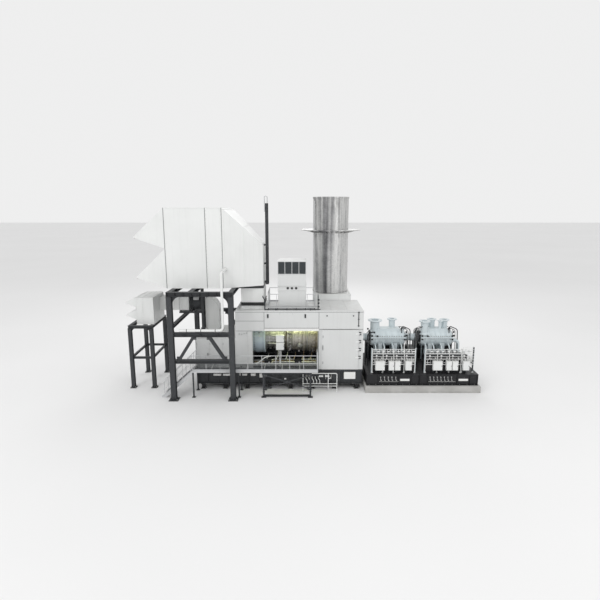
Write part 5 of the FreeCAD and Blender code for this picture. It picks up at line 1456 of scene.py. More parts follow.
def vent_fan():
    fan = Piece("vent_fan_section", CHARCOAL)
    middle = at(0, (FAN_LOW.y + FAN_HIGH.y) / 2, (DUCT_FLOOR + DUCT_HIGH.z) / 2)
    radius = DUCT_SIZE / 2 + 0.02
    fan.lathe((FAN_LOW.x, middle.y, middle.z), ALONG, [(0, 0), (0, radius - 0.02), (0.3, radius - 0.02),
            (0.32, radius), (0.9, radius), (0.92, radius - 0.02), (1.22, radius - 0.02), (1.22, 0)],
            CHARCOAL, 48)
    for x in (FAN_LOW.x + 0.02, FAN_LOW.x + 0.3, FAN_HIGH.x - 0.3, FAN_HIGH.x - 0.03):
        fan.ring((x, middle.y, middle.z), ALONG, radius - 0.05, radius + 0.045, 0.04,
                SEAM if x < FAN_LOW.x + 0.1 else CHARCOAL, 48)
        fan.bolt_ring((x + 0.02, middle.y, middle.z), ALONG, radius + 0.02, 24, 0.02)
    for x in (FAN_LOW.x + 0.02, FAN_HIGH.x - 0.02):
        fan.about((x, middle.y, middle.z), (0.03, FAN_HIGH.y - FAN_LOW.y, DUCT_HIGH.z - DUCT_FLOOR + 0.06))
    for x in (FAN_LOW.x + 0.25, FAN_HIGH.x - 0.25):
        fan.about((x, middle.y, FAN_LOW.z + 0.06), (0.12, 0.9, 0.12))
    fan.lathe((FAN_LOW.x + 0.35, FAN_LOW.y + 0.15, FAN_HIGH.z - 0.2), ALONG, plug(0.12, 0.4), SEAM, 20)
    for y in (FAN_LOW.y + 0.02, FAN_HIGH.y - 0.02):
        fan.bar((FAN_LOW.x + 0.2, y, FAN_LOW.z), (FAN_LOW.x + 0.2, y, FAN_HIGH.z - 0.2), 0.05, 0.04)
        fan.bar((FAN_HIGH.x - 0.2, y, FAN_LOW.z), (FAN_HIGH.x - 0.2, y, FAN_HIGH.z - 0.2), 0.05, 0.04)
    fan.done("charcoal_steel", "vent_fan")


def fan_platform():
    low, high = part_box("fan_platform")
    floor = Piece("fan_platform_deck", CHARCOAL)
    top = FAN_LOW.z
    edge_y = -0.8125
    floor.block((low.x, edge_y, top - 0.11), (low.x + 0.05, high.y, top))
    floor.block((high.x - 0.05, edge_y, top - 0.11), (high.x, high.y, top))
    for y in (edge_y, high.y - 0.05):
        floor.block((low.x, y, top - 0.11), (high.x, y + 0.05, top))
    grate(floor, (low.x + 0.05, edge_y + 0.05), (high.x - 0.05, high.y - 0.05), top, 0.05)
    for x in spread(low.x + 0.3, high.x - 0.3, 4):
        floor.block((x - 0.03, edge_y + 0.05, top - 0.12), (x + 0.03, high.y - 0.05, top - 0.03))
    bay_roof = 3.8
    for x, y in ((-7.9, -0.6825), (-7.5, 0.3375)):
        floor.beam((x, y, bay_roof), (x, y, top - 0.11), 0.14, 0.14, ACROSS, 0.012)
    for x, y in ((-7.9, -0.6825), (-7.5, 0.3375)):
        floor.about((x, y, bay_roof + 0.01), (0.26, 0.26, 0.02))
    handrail(floor, (low.x + 0.03, edge_y + 0.03, top), (low.x + 0.03, high.y - 0.03, top), 1.05, 3)
    handrail(floor, (low.x + 0.06, high.y - 0.03, top), (high.x - 0.06, high.y - 0.03, top), 1.05, 4)
    floor.done("charcoal_steel", "fan_platform")


def grate(piece, low, high, top, pitch):
    """Open grating: upright bearing bars with thin cross rods."""
    count = max(int((high[0] - low[0]) / pitch), 2)
    for x in spread(low[0] + 0.01, high[0] - 0.01, count):
        piece.block((x - 0.003, low[1], top - 0.032), (x + 0.003, high[1], top - 0.002), GRATING)
    for y in spread(low[1] + 0.05, high[1] - 0.05, max(int((high[1] - low[1]) / 0.1), 2)):
        piece.block((low[0], y - 0.004, top - 0.012), (high[0], y + 0.004, top), GRATING)


# ------------------------------------------------------------------------------------ exhaust

def exhaust_plenum():
    low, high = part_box("exhaust_plenum")
    piece = Piece("exhaust_plenum_casing", WHITE)
    panelled_box(piece, low, high, WHITE, WHITE, (0, 0.33, 0.67, 1), (0, 0.5, 1), 0.025, 0.07)
    for y in spread(low.y + 0.9, high.y - 0.04, 4):
        for x in (low.x, high.x - 0.025):
            piece.block((x, y - 0.035, low.z + 0.01), (x + 0.025, y + 0.035, high.z - 0.03))
        piece.block((low.x + 0.03, y - 0.035, high.z - 0.025), (high.x - 0.03, y + 0.035, high.z - 0.003))
    for z in (low.z + 0.1, (low.z + high.z) / 2 + 0.08):
        piece.bolt_row((low.x + 0.15, high.y, z), (high.x - 0.15, high.y, z), 16, (0, 1, 0), 0.024)
    hatch = ((low.x + high.x) / 2, high.y, low.z + 1.3)
    piece.about(hatch, (0.8, 0.05, 0.9))
    piece.done("white_panel", "exhaust_plenum", bevel=0.004)


def plenum_legs():
    low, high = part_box("plenum_legs")
    legs = Piece("plenum_support_legs", CHARCOAL)
    size = 0.26
    ys, xs = (low.y + size / 2, high.y - size / 2), (low.x + size / 2, high.x - size / 2)
    for x in xs:
        for y in ys:
            column(legs, (x, y), size, 0.03, high.z, 0.36)
    for x in xs:
        legs.beam((x, ys[0] + size / 2, high.z - 0.12), (x, ys[1] - size / 2, high.z - 0.12), 0.2, 0.22, UP,
                0.016)
        legs.bar((x, ys[0], 0.35), (x, (ys[0] + ys[1]) / 2, high.z - 0.25), 0.07, 0.07)
        legs.bar((x, ys[1], 0.35), (x, (ys[0] + ys[1]) / 2, high.z - 0.25), 0.07, 0.07)
    for y in ys:
        legs.beam((xs[0] + size / 2, y, high.z - 0.12), (xs[1] - size / 2, y, high.z - 0.12), 0.2, 0.22, UP,
                0.016)
    legs.done("charcoal_steel", "plenum_legs")


def exhaust_stack():
    low, high = stack_low, stack_high
    centre = (low + high) / 2
    outer = (high.x - low.x) / 2
    shell, wall, rim = outer - 0.04, 0.04, 0.12
    tall = high.z - low.z
    piece = Piece("exhaust_stack_shell", STACK)
    steps = [(0, shell - wall), (0, shell + 0.03), (0.05, shell + 0.03), (0.05, shell)]
    for z in (2.42, 4.86):
        steps += [(z - 0.03, shell), (z - 0.03, shell + 0.025), (z + 0.03, shell + 0.025),
                (z + 0.03, shell)]
    steps += [(tall - rim, shell), (tall - rim, outer), (tall, outer), (tall, shell - wall)]
    piece.lathe((centre.x, centre.y, low.z), UP, steps, STACK, 96)
    piece.bolt_ring((centre.x, centre.y, low.z + 0.05), UP, shell + 0.012, 48, 0.03)
    for z in spread(low.z + 1.2, high.z - 1.2, 6):
        for turn in (0.2, 2.3, 4.4):
            spot = at(centre.x + (shell + 0.01) * math.cos(turn + z),
                    centre.y + (shell + 0.01) * math.sin(turn + z), z)
            piece.about(spot, (0.05, 0.05, 0.12))
    turn = math.radians(-152)
    edge = at(centre.x + (shell + 0.09) * math.cos(turn), centre.y + (shell + 0.09) * math.sin(turn), 0)
    piece.rod(edge + UP * (low.z + 0.1), edge + UP * (high.z - 0.3), 0.04, SEAM, 12)
    for z in spread(low.z + 0.4, high.z - 0.6, 9):
        piece.bar(edge + UP * z, at(centre.x + shell * 0.99 * math.cos(turn),
                centre.y + shell * 0.99 * math.sin(turn), z), 0.05, 0.05, SEAM)
    piece.done("galvanised", "exhaust_stack")
    ring_low, ring_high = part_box("stack_platform")
    outer = (ring_high.x - ring_low.x) / 2
    shelf = Piece("stack_platform_ring", STACK)
    thick = ring_high.z - ring_low.z
    shelf.lathe((centre.x, centre.y, ring_low.z + thick * 0.5), UP, [(0, shell + 0.005), (0, outer - 0.06),
            (-thick * 0.5, outer - 0.06), (-thick * 0.5, outer), (thick * 0.5, outer), (thick * 0.5,
            shell + 0.005)], STACK, 96)
    for k in range(24):
        turn = math.tau * k / 24
        out = at(math.cos(turn), math.sin(turn), 0)
        middle = at(centre.x, centre.y, 0)
        side = at(-out.y, out.x, 0) * 0.008
        fin = [middle + out * (shell - 0.01) + UP * (ring_low.z + thick * 0.5) - side,
                middle + out * (outer - 0.07) + UP * (ring_low.z + thick * 0.5) - side,
                middle + out * (shell - 0.01) + UP * (ring_low.z - 0.22) - side]
        shelf.prism(fin, side * 2)
    shelf.done("galvanised", "stack_platform")


# ------------------------------------------------------------------------------------ access

WALK_LOW, WALK_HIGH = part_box("walkway_deck")


def walkway_floor():
    low, high = WALK_LOW, WALK_HIGH
    deck = Piece("walkway_grating_deck", RAIL)
    for y in (low.y, high.y - 0.05):
        deck.block((low.x, y, low.z), (high.x, y + 0.05, high.z))
    for x in spread(low.x, high.x - 0.05, 8):
        deck.block((x, low.y + 0.05, low.z), (x + 0.05, high.y - 0.05, high.z - 0.002))
    grate(deck, (low.x + 0.05, low.y + 0.05), (high.x - 0.05, high.y - 0.05), high.z, 0.04)
    deck.block((low.x + 0.05, (low.y + high.y) / 2 - 0.03, low.z + 0.01), (high.x - 0.05,
            (low.y + high.y) / 2 + 0.03, high.z - 0.035), CHARCOAL)
    deck.done("grating", "walkway_deck")


def walkway_supports():
    legs = Piece("walkway_legs_and_stand", CHARCOAL)
    leg_low, leg_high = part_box("walkway_legs")
    stand_low, stand_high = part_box("walkway_stand")
    half = 0.045
    posts = [(leg_low.x + half, leg_low.y + half), (leg_low.x + half, leg_high.y - half),
            (stand_low.x - 1.645, leg_low.y + half), (stand_low.x - 1.645, leg_high.y - half),
            (stand_low.x + 0.06, leg_high.y - half), (stand_high.x - 0.06, leg_high.y - half)]
    for x, y in posts:
        legs.beam((x, y, 0.02), (x, y, WALK_LOW.z), 0.09, 0.09, ACROSS, 0.008)
        legs.about((x, y, 0.01), (0.24, 0.24, 0.02))
        legs.bolt_corners((x, y, 0.02), 0.085, 0.085, 0.026)
    stand_y = (stand_low.y + stand_high.y) / 2
    left, right = stand_low.x + 0.06, stand_high.x - 0.06
    for x in (left, right):
        legs.beam((x, stand_y, 0.02), (x, stand_y, stand_high.z), 0.12, 0.12, ACROSS, 0.012)
        legs.about((x, stand_y, 0.012), (0.34, 0.3, 0.024))
        legs.bolt_corners((x, stand_y, 0.024), 0.13, 0.1, 0.034)
        for z in (0.4, 1.0, 1.5):
            legs.about((x, stand_y, z), (0.16, 0.1, 0.014))
        legs.about((x, stand_y - 0.005, stand_high.z - 0.1), (0.2, 0.13, 0.2))
    for z in (0.12, stand_high.z - 0.06):
        legs.beam((left + 0.06, stand_y, z), (right - 0.06, stand_y, z), 0.1, 0.12, UP, 0.01)
    foot, top = 0.62, stand_high.z - 0.2
    for start, end, y in (((left + 0.06, foot), (right - 0.06, top), stand_y - 0.02), ((left + 0.06, top),
            (right - 0.06, foot), stand_y + 0.02)):
        legs.bar((start[0], y, start[1]), (end[0], y, end[1]), 0.02, 0.075, side=(0, 1, 0))
    legs.about(((left + right) / 2, stand_y, (foot + top) / 2), (0.2, 0.076, 0.16))
    legs.about(((left + right) / 2 - 0.12, stand_y - 0.04, 1.36), (0.13, 0.012, 0.1), STEEL)
    for x in (left + 0.13, right - 0.13):
        for z in (foot + 0.03, top - 0.03):
            legs.about((x, stand_y, z), (0.22, 0.014, 0.2))
            legs.bolt((x - 0.05, stand_y - 0.03, z), (0, -1, 0), 0.03)
            legs.bolt((x + 0.05, stand_y - 0.03, z), (0, -1, 0), 0.03)
    legs.done("charcoal_steel", "walkway_legs", "walkway_stand")


def walkway_handrails():
    rail_low, rail_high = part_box("walkway_rails")
    rails = Piece("walkway_handrails", RAIL)
    tall = rail_high.z - WALK_HIGH.z
    handrail(rails, (WALK_HIGH.x - 0.022, WALK_LOW.y + 0.022, WALK_HIGH.z), (WALK_LOW.x + 0.022,
            WALK_LOW.y + 0.022, WALK_HIGH.z), tall, 10)
    handrail(rails, (WALK_HIGH.x - 0.022, WALK_LOW.y + 0.06, WALK_HIGH.z), (WALK_HIGH.x - 0.022,
            WALK_HIGH.y - 0.06, WALK_HIGH.z), tall, 3)
    stair_y = WALK_LOW.y + 1.06
    handrail(rails, (WALK_LOW.x + 0.022, stair_y, WALK_HIGH.z), (WALK_LOW.x + 0.022, WALK_HIGH.y - 0.03,
            WALK_HIGH.z), tall, 2)
    foot_x = rail_low.x + 0.06
    for y in (WALK_LOW.y + 0.022, WALK_LOW.y + 0.98):
        for lift, radius in ((tall - 0.02, 0.021), (tall * 0.5, 0.016)):
            rails.rod((foot_x, y, lift), (WALK_LOW.x + 0.01, y, WALK_HIGH.z + lift), radius, RAIL, 10)
        for share in (0.04, 0.36, 0.68, 0.96):
            x = foot_x + (WALK_LOW.x - foot_x) * share
            rails.rod((x, y, WALK_HIGH.z * share - 0.03), (x, y, WALK_HIGH.z * share + tall - 0.02), 0.019,
                    RAIL, 10)
    rails.done("rail_paint", "walkway_rails")


def entry_stair():
    stair_low, stair_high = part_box("entry_stair")
    stair = Piece("entry_stair_flight", RAIL)
    rises, reach = 10, WALK_LOW.x - stair_low.x
    for y in (stair_low.y, stair_high.y - 0.012):
        edge = [at(stair_low.x, y, 0.005), at(stair_low.x + 0.26, y, 0.005), at(stair_high.x, y,
                WALK_HIGH.z - 0.28), at(stair_high.x, y, WALK_HIGH.z), at(stair_high.x - 0.05, y,
                WALK_HIGH.z), at(stair_low.x, y, 0.07)]
        stair.prism(edge, at(0, 0.012, 0))
        lip = y if y == stair_low.y else y - 0.028
        stair.bar((stair_low.x + 0.02, lip + 0.02, 0.095), (stair_high.x - 0.02, lip + 0.02,
                WALK_HIGH.z - 0.004), 0.04, 0.01, side=(0, 1, 0))
    for number in range(1, rises):
        top = WALK_HIGH.z - WALK_HIGH.z * number / rises
        nose = WALK_LOW.x - reach * number / rises
        grate(stair, (nose - 0.02, stair_low.y + 0.014), (nose + 0.21, stair_high.y - 0.014), top, 0.03)
        stair.block((nose - 0.03, stair_low.y + 0.012, top - 0.04), (nose - 0.015, stair_high.y - 0.012,
                top + 0.002), CHARCOAL)
        for y in (stair_low.y + 0.012, stair_high.y - 0.02):
            stair.block((nose - 0.03, y, top - 0.06), (nose + 0.21, y + 0.008, top), GRATING)
    stair.done("charcoal_steel", "entry_stair")


def pipe_rack():
    low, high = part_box("pipe_rack")
    y = (low.y + high.y) / 2
    piece = Piece("lube_pipe_rack", WHITE)
    left, right, top = low.x + 0.032, high.x - 0.032, high.z - 0.032
    pipe = 0.03
    piece.pipe([(left, y, 0.02), (left, y, top), (right, y, top), (right, y, 0.02)], pipe, WHITE, 0.12, 14)
    piece.rod((right - 0.62, y, 0.25), (right - 0.62, y, top), pipe, WHITE, 14)
    for z in (0.42, 0.6):
        piece.rod((left, y, z), (right, y, z), pipe * 0.8, WHITE, 12)
    for x in (left, right, right - 0.62):
        piece.ring((x, y, 0.5), UP, pipe * 0.9, pipe * 1.6, 0.03, BOLT, 14)
    for x in (left, right):
        piece.about((x, y, 0.012), (0.14, 0.1, 0.024))
    for x in spread(left + 0.3, left + 1.2, 5):
        piece.pipe([(x, y, 0.6), (x, y, 0.86), (x - 0.1, y, 0.98), (x - 0.1, y + 0.25, 1.04)], 0.026, WHITE,
                0.08, 10)
        piece.lathe((x, y, 0.68), UP, plug(0.045, 0.06), STEEL, 14)
    for x in (left + 0.35, left + 1.28, left + 1.72):
        piece.about((x, y + 0.03, 1.16), (0.3, 0.1, 0.1))
        piece.lathe((x, y - 0.02, 1.16), -ACROSS, plug(0.035, 0.012), SEAM, 16)
    piece.pipe([(right - 0.62, y, 1.0), (right - 0.45, y, 1.0), (right - 0.45, y + 0.22, 1.0)], 0.026,
            WHITE, 0.06, 10)
    piece.lathe((right - 0.1, y, 0.42), ALONG, plug(0.06, 0.08), STEEL, 16)
    piece.done("rail_paint", "pipe_rack")


# ------------------------------------------------------------------------------------ compressors

BASE_LOW, BASE_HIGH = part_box("compressor_bases")
END_COVER = 0.12
UNIT_SPLIT = BASE_LOW.x + 3.77


def casing_span(node):
    """Where a compressor's barrel starts and ends, without its end covers."""
    low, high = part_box(node)
    return low.x + END_COVER, high.x - END_COVER


def plinth():
    low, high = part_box("compressor_plinth")
    piece = Piece("compressor_plinth_block", CONCRETE)
    edge = 0.03
    rings = []
    for z, inset in ((low.z, 0), (high.z - edge, 0), (high.z, edge)):
        rings.append([at(low.x + inset, low.y + inset, z), at(high.x - inset, low.y + inset, z),
                at(high.x - inset, high.y - inset, z), at(low.x + inset, high.y - inset, z)])
    points = [p for ring in rings for p in ring]
    faces = [(0, 1, 2, 3), (8, 9, 10, 11)]
    for lift in (0, 4):
        faces += [(lift + i, lift + (i + 1) % 4, lift + 4 + (i + 1) % 4, lift + 4 + i) for i in range(4)]
    piece.shell(points, faces)
    piece.done("concrete", "compressor_plinth")


def bases():
    low, high = BASE_LOW, BASE_HIGH
    piece = Piece("compressor_base_frames", BLACK)
    for left, right, comb, count, plate in ((low.x, UNIT_SPLIT, 1.0, 5, 2.4), (UNIT_SPLIT + 0.03, high.x,
            0.73, 7, 2.78)):
        piece.block((left, low.y + 0.09, low.z), (right, high.y - 0.09, high.z - 0.04))
        piece.block((left, low.y, high.z - 0.05), (right, high.y, high.z))
        piece.block((left, low.y, low.z), (right, low.y + 0.2, low.z + 0.04))
        piece.block((left, high.y - 0.2, low.z), (right, high.y, low.z + 0.04))
        ribs = (left + 0.02, left + comb - 0.16, left + plate - 0.1, left + plate + 0.8, right - 0.02)
        for x in ribs:
            for y in (low.y + 0.01, high.y - 0.1):
                piece.block((x - 0.015, y, low.z + 0.04), (x + 0.015, y + 0.09, high.z - 0.05))
        for y in (low.y + 0.1, high.y - 0.1):
            piece.bolt_row((left + 0.2, y, low.z + 0.04), (right - 0.2, y, low.z + 0.04), 8, UP, 0.05)
        face = low.y + 0.09
        for y, way in ((face, 1), (high.y - 0.09, -1)):
            for k in range(count):
                x = left + comb + k * (0.27 if count == 5 else 0.255)
                piece.pipe([(x, y + way * 0.02, low.z + 0.6), (x, y - way * 0.05, low.z + 0.6),
                        (x, y - way * 0.05, low.z + 0.42), (x + 0.05, y - way * 0.05, low.z + 0.36),
                        (x + 0.05, y + way * 0.02, low.z + 0.36)], 0.018, STEEL, 0.04, 8)
                piece.lathe((x, y, low.z + 0.6), (0, -way, 0), plug(0.04, 0.02), STEEL, 12)
                piece.lathe((x + 0.05, y, low.z + 0.36), (0, -way, 0), plug(0.04, 0.02), STEEL, 12)
            piece.rod((left + comb - 0.1, y - way * 0.04, low.z + 0.27), (left + comb + count * 0.26,
                    y - way * 0.04, low.z + 0.27), 0.014, STEEL, 8)
            sheet = sorted((y - way * 0.012, y + way * 0.01))
            piece.block((left + plate, sheet[0], low.z + 0.31), (left + plate + 0.68, sheet[1],
                    low.z + 0.47), BLANK)
            for x in (left + plate + 0.03, left + plate + 0.65):
                piece.bolt((x, y - way * 0.012, low.z + 0.39), (0, -way, 0), 0.016)
    piece.done("black_base", "compressor_bases", bevel=0.004)


def compressor_body(name, node, guard_side):
    low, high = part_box(node)
    start, end = casing_span(node)
    y, z = (low.y + high.y) / 2, (low.z + high.z) / 2
    radius = (high.z - low.z) / 2
    long = end - start
    piece = Piece(name, COMPRESSOR)
    barrel = radius - 0.04
    piece.lathe((start, y, z), ALONG, [(0, 0), (0, barrel - 0.08), (0.05, barrel - 0.03), (0.12, barrel),
            (0.3, barrel), (0.32, barrel + 0.03), (0.42, barrel + 0.03), (0.44, barrel), (long - 0.44,
            barrel), (long - 0.42, barrel + 0.03), (long - 0.32, barrel + 0.03), (long - 0.3, barrel),
            (long - 0.12, barrel), (long - 0.05, barrel - 0.03), (long, barrel - 0.08), (long, 0)],
            COMPRESSOR, 64)
    for x, way in ((start, -1), (end, 1)):
        piece.lathe((x, y, z), ALONG * way, [(-0.03, 0), (-0.03, 0.42), (0.05, 0.42), (0.05, 0.34),
                (END_COVER, 0.31), (END_COVER, 0)], CHARCOAL if way == guard_side else COMPRESSOR, 48)
        piece.bolt_ring((x + way * 0.05, y, z), ALONG * way, 0.38, 20, 0.036)
        piece.bolt_ring((x, y, z), ALONG * way, 0.52, 24, 0.04)
    joint = z + 0.14
    deep = math.sqrt(barrel ** 2 - 0.14 ** 2)
    for way in (-1, 1):
        piece.about(((start + end) / 2, y + way * deep, joint), (long + 0.04, 0.26, 0.13))
        for x in spread(start + 0.12, end - 0.12, 14):
            foot = at(x, y + way * (deep + 0.07), joint + 0.065)
            piece.rod(foot, foot + UP * 0.06, 0.016, BOLT, 8)
            piece.bolt(foot, UP, 0.05)
            piece.bolt((x, foot.y, joint - 0.065), -UP, 0.05)
        for x in (start + 0.05, end - 0.05):
            for lift in (-0.13, 0.13):
                piece.lathe((x, y + way * (deep + 0.1), joint + lift), (0, way, 0),
                        [(-0.05, 0), (-0.05, 0.05), (0.0, 0.07), (0.05, 0.07), (0.08, 0.04), (0.08, 0)],
                        BLACK, 18)
        piece.about((start + 0.45, y + way * (deep + 0.1), joint + 0.11), (0.13, 0.12, 0.1), BLACK)
    roof = radius + 0.1
    slope = [at(start + 0.1, y - 0.36, joint), at(start + 0.55, y - 0.36, z + roof * 0.93), at(end - 0.35,
            y - 0.36, z + roof * 0.93), at(end - 0.1, y - 0.36, joint)]
    piece.prism(slope, at(0, 0.72, 0))
    for x in spread(start + 0.7, end - 0.5, 4):
        piece.ring((x, y, z), ALONG, barrel - 0.03, barrel + 0.045, 0.05, COMPRESSOR, 64)
    piece.done("compressor_paint", node)


def nozzles():
    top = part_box("compressor_nozzles")[1].z
    piece = Piece("compressor_branch_nozzles", COMPRESSOR)
    centre = (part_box("first_compressor")[0].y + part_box("first_compressor")[1].y) / 2
    first, second = casing_span("first_compressor")[0], casing_span("second_compressor")[0]
    for x, y, neck, rim in ((first + 0.35, 0, 0.34, 0.53), (first + 1.7, 0.4, 0.23, 0.37), (second + 0.28,
            -0.3, 0.27, 0.42), (second + 0.98, 0.35, 0.23, 0.35), (second + 1.45, -0.25, 0.11, 0.19),
            (second + 1.88, 0.15, 0.23, 0.37)):
        foot = 3.62
        tall = top - foot
        flare = [(tall - 0.22 + 0.15 * math.sin(a), neck + (rim - neck) * 0.62 * (1 - math.cos(a)))
                for a in spread(0, math.pi / 2, 7)]
        bore = neck - 0.05
        piece.lathe((x, centre + y, foot), UP, [(0, 0), (0, neck + 0.07), (0.1, neck + 0.07),
                (0.2, neck)] + flare + [(tall - 0.07, rim - 0.015), (tall - 0.055, rim), (tall - 0.012,
                rim), (tall, rim - 0.012), (tall, bore + 0.05), (tall - 0.008, bore), (tall - 0.4, bore),
                (tall - 0.4, 0)], COMPRESSOR, 48)
        count = max(8, int(rim * 40))
        for k in range(count):
            turn = math.tau * k / count
            spot = at(x + (rim - 0.055) * math.cos(turn), centre + y + (rim - 0.055) * math.sin(turn),
                    top - 0.004)
            piece.lathe(spot, UP, plug(0.022, 0.003), RUBBER, 10)
    piece.done("compressor_paint", "compressor_nozzles")


def shaft_guards():
    low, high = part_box("coupling_guards")
    y, z, radius = (low.y + high.y) / 2, (low.z + high.z) / 2, (high.z - low.z) / 2
    first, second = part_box("first_compressor"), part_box("second_compressor")
    piece = Piece("coupling_guard_covers", COMPRESSOR)
    for start, end in ((BAY_RIGHT, first[0].x), (first[1].x, second[0].x)):
        long = end - start
        piece.lathe((start, y, z), ALONG, [(0, 0), (0, radius), (0.05, radius), (0.05, radius - 0.04),
                (long / 2 - 0.03, radius - 0.04), (long / 2 - 0.03, radius - 0.01), (long / 2 + 0.03,
                radius - 0.01), (long / 2 + 0.03, radius - 0.04), (long - 0.05, radius - 0.04),
                (long - 0.05, radius), (long, radius), (long, 0)], COMPRESSOR, 48)
        for x in spread(start + 0.12, end - 0.12, 5):
            piece.ring((x, y, z), ALONG, radius - 0.06, radius - 0.03, 0.02, CHARCOAL, 40)
        for x in (start + 0.2, end - 0.2):
            piece.about((x, y, (BASE_HIGH.z + z - radius) / 2 + 0.02),
                    (0.06, 0.3, z - radius - BASE_HIGH.z + 0.1), CHARCOAL)
    end = second[0].x
    piece.lathe((end - 0.14, y, z), ALONG, [(0, 0.2), (0, 0.58), (0.03, 0.6), (0.08, 0.6), (0.08, 0.2)],
            CHARCOAL, 48)
    piece.bolt_ring((end - 0.14, y, z), -ALONG, 0.53, 20, 0.034)
    piece.done("charcoal_steel", "coupling_guards")


def pedestals():
    low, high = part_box("compressor_pedestals")
    y = (low.y + high.y) / 2
    centre_z = (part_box("first_compressor")[0].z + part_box("first_compressor")[1].z) / 2
    piece = Piece("compressor_pedestal_feet", COMPRESSOR)
    for node in ("first_compressor", "second_compressor"):
        start, end = casing_span(node)
        for x in (start + 0.7, end - 0.7):
            curve = [at(x - 0.14, y + 0.66 * math.sin(a), centre_z - 0.66 * math.cos(a))
                    for a in spread(-1.05, 1.05, 15)]
            feet = [at(x - 0.14, y + 0.6, low.z + 0.06), at(x - 0.14, y - 0.6, low.z + 0.06)]
            piece.prism(curve + feet, at(0.28, 0, 0))
            piece.block((x - 0.22, y - 0.68, low.z), (x + 0.22, y + 0.68, low.z + 0.06))
            for dy in spread(-0.6, 0.6, 5):
                for dx in (-0.18, 0.18):
                    piece.bolt((x + dx, y + dy, low.z + 0.06), UP, 0.055)
            for dy in (-0.5, 0, 0.5):
                for dx in (-0.17, 0.17):
                    piece.about((x + dx, y + dy, low.z + 0.45), (0.06, 0.02, 0.78))
    piece.done("compressor_paint", "compressor_pedestals")


def gauge(piece, spot, way, radius=0.05):
    spot, axis = Vector(spot), at(0, way, 0)
    piece.lathe(spot, axis, [(0, 0), (0, radius), (0.035, radius), (0.04, radius - 0.008),
            (0.034, radius - 0.01), (0.034, 0)], WHITE, 20)
    piece.ring(spot + axis * 0.034, axis, radius - 0.012, radius + 0.002, 0.014, STEEL, 20)


def instruments():
    low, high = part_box("instrument_racks")
    y = (low.y + high.y) / 2
    racks = Piece("compressor_instrument_racks", WHITE)
    for left, right in ((low.x + 0.038, UNIT_SPLIT - 0.3), (UNIT_SPLIT + 0.45, high.x - 0.038)):
        posts = spread(left, right, 5)
        for x in posts:
            racks.rod((x, y, BASE_HIGH.z), (x, y, high.z - 0.1), 0.028, WHITE, 10)
            racks.about((x, y, BASE_HIGH.z + 0.012), (0.14, 0.07, 0.024))
            racks.lathe((x, y, BASE_HIGH.z + 0.05), UP, plug(0.05, 0.06), WHITE, 14)
        for z, radius in ((1.92, 0.028), (2.06, 0.018), (2.32, 0.024), (2.5, 0.016), (2.72, 0.028),
                (3.04, 0.02)):
            racks.rod((left, y, z), (right, y, z), radius, WHITE, 10)
            for x in posts:
                racks.ring((x, y, z), UP, 0.02, 0.042, 0.06, STEEL, 10)
        inner = y + 0.34
        for z in (2.1, 2.4, 2.8):
            racks.rod((left + 0.1, inner, z), (right - 0.1, inner, z), 0.022, SEAM, 10)
        for number, x in enumerate(spread(left + 0.16, right - 0.16, 15)):
            sway = 0.05 * math.sin(number * 2.1)
            racks.pipe([(x, y, 1.95), (x, y, 2.2 + sway), (x + 0.09, y + 0.12, 2.36 + sway),
                    (x + 0.09, inner, 2.6)], 0.014, STEEL if number % 2 else WHITE, 0.07, 8)
            racks.pipe([(x + 0.04, inner, 2.6), (x + 0.04, inner + 0.12, 2.82 + sway),
                    (x + 0.04, inner + 0.3, 2.86 + sway), (x + 0.04, inner + 0.36, 2.55)], 0.018, WHITE,
                    0.1, 8)
        for number, x in enumerate(spread(left + 0.3, right - 0.25, 8)):
            if number != 5:
                gauge(racks, (x, y - 0.02, 2.2 if number % 2 else 2.58), -1, 0.062)
            racks.about((x, y - 0.01, 2.4), (0.08, 0.07, 0.09), STEEL)
            racks.rod((x, y - 0.01, 2.3), (x, y - 0.01, 2.56), 0.01, STEEL, 8)
            racks.about((x + 0.12, y, 2.88), (0.16, 0.07, 0.07))
            racks.lathe((x + 0.12, y - 0.035, 2.06), -ACROSS, [(0, 0), (0, 0.05), (0.012, 0.05),
                    (0.012, 0.012), (0.03, 0.012), (0.03, 0)], CHARCOAL, 14)
        box = left + (right - left) * 0.48
        racks.about((box, y - 0.02, 2.03), (0.36, 0.07, 0.3))
        for dx in (-0.08, 0.08):
            for dz in (-0.07, 0.07):
                racks.about((box + dx, y - 0.056, 2.03 + dz), (0.1, 0.012, 0.085), CHARCOAL)
        tray = right - 0.62
        racks.block((tray, y - 0.02, 2.06), (right, y + 0.4, 2.1))
        for x in spread(tray + 0.1, right - 0.1, 4):
            racks.lathe((x, y + 0.12, 2.1), UP, [(0, 0), (0, 0.06), (0.16, 0.06), (0.18, 0.03),
                    (0.26, 0.03), (0.26, 0)], WHITE, 16)
            racks.pipe([(x, y + 0.12, 2.34), (x, y + 0.12, 2.46), (x + 0.06, y + 0.3, 2.5)], 0.014, STEEL,
                    0.06, 8)
        for x in (left - 0.06, right + 0.04):
            racks.bar((x, y + 0.02, BASE_HIGH.z), (x, y + 0.02, high.z - 0.05), 0.07, 0.035, COMPRESSOR)
    right = high.x - 0.038
    racks.bar((right, y + 0.02, BASE_HIGH.z), (right, y + 0.02, high.z), 0.1, 0.07, CHARCOAL)
    racks.rod((right - 0.75, y + 0.02, high.z - 0.03), (right, y + 0.02, high.z - 0.03), 0.022, WHITE, 10)
    racks.rod((right - 0.75, y + 0.02, high.z - 0.03), (right - 0.75, y + 0.02, BASE_HIGH.z), 0.022, WHITE,
            10)
    racks.done("rail_paint", "instrument_racks")


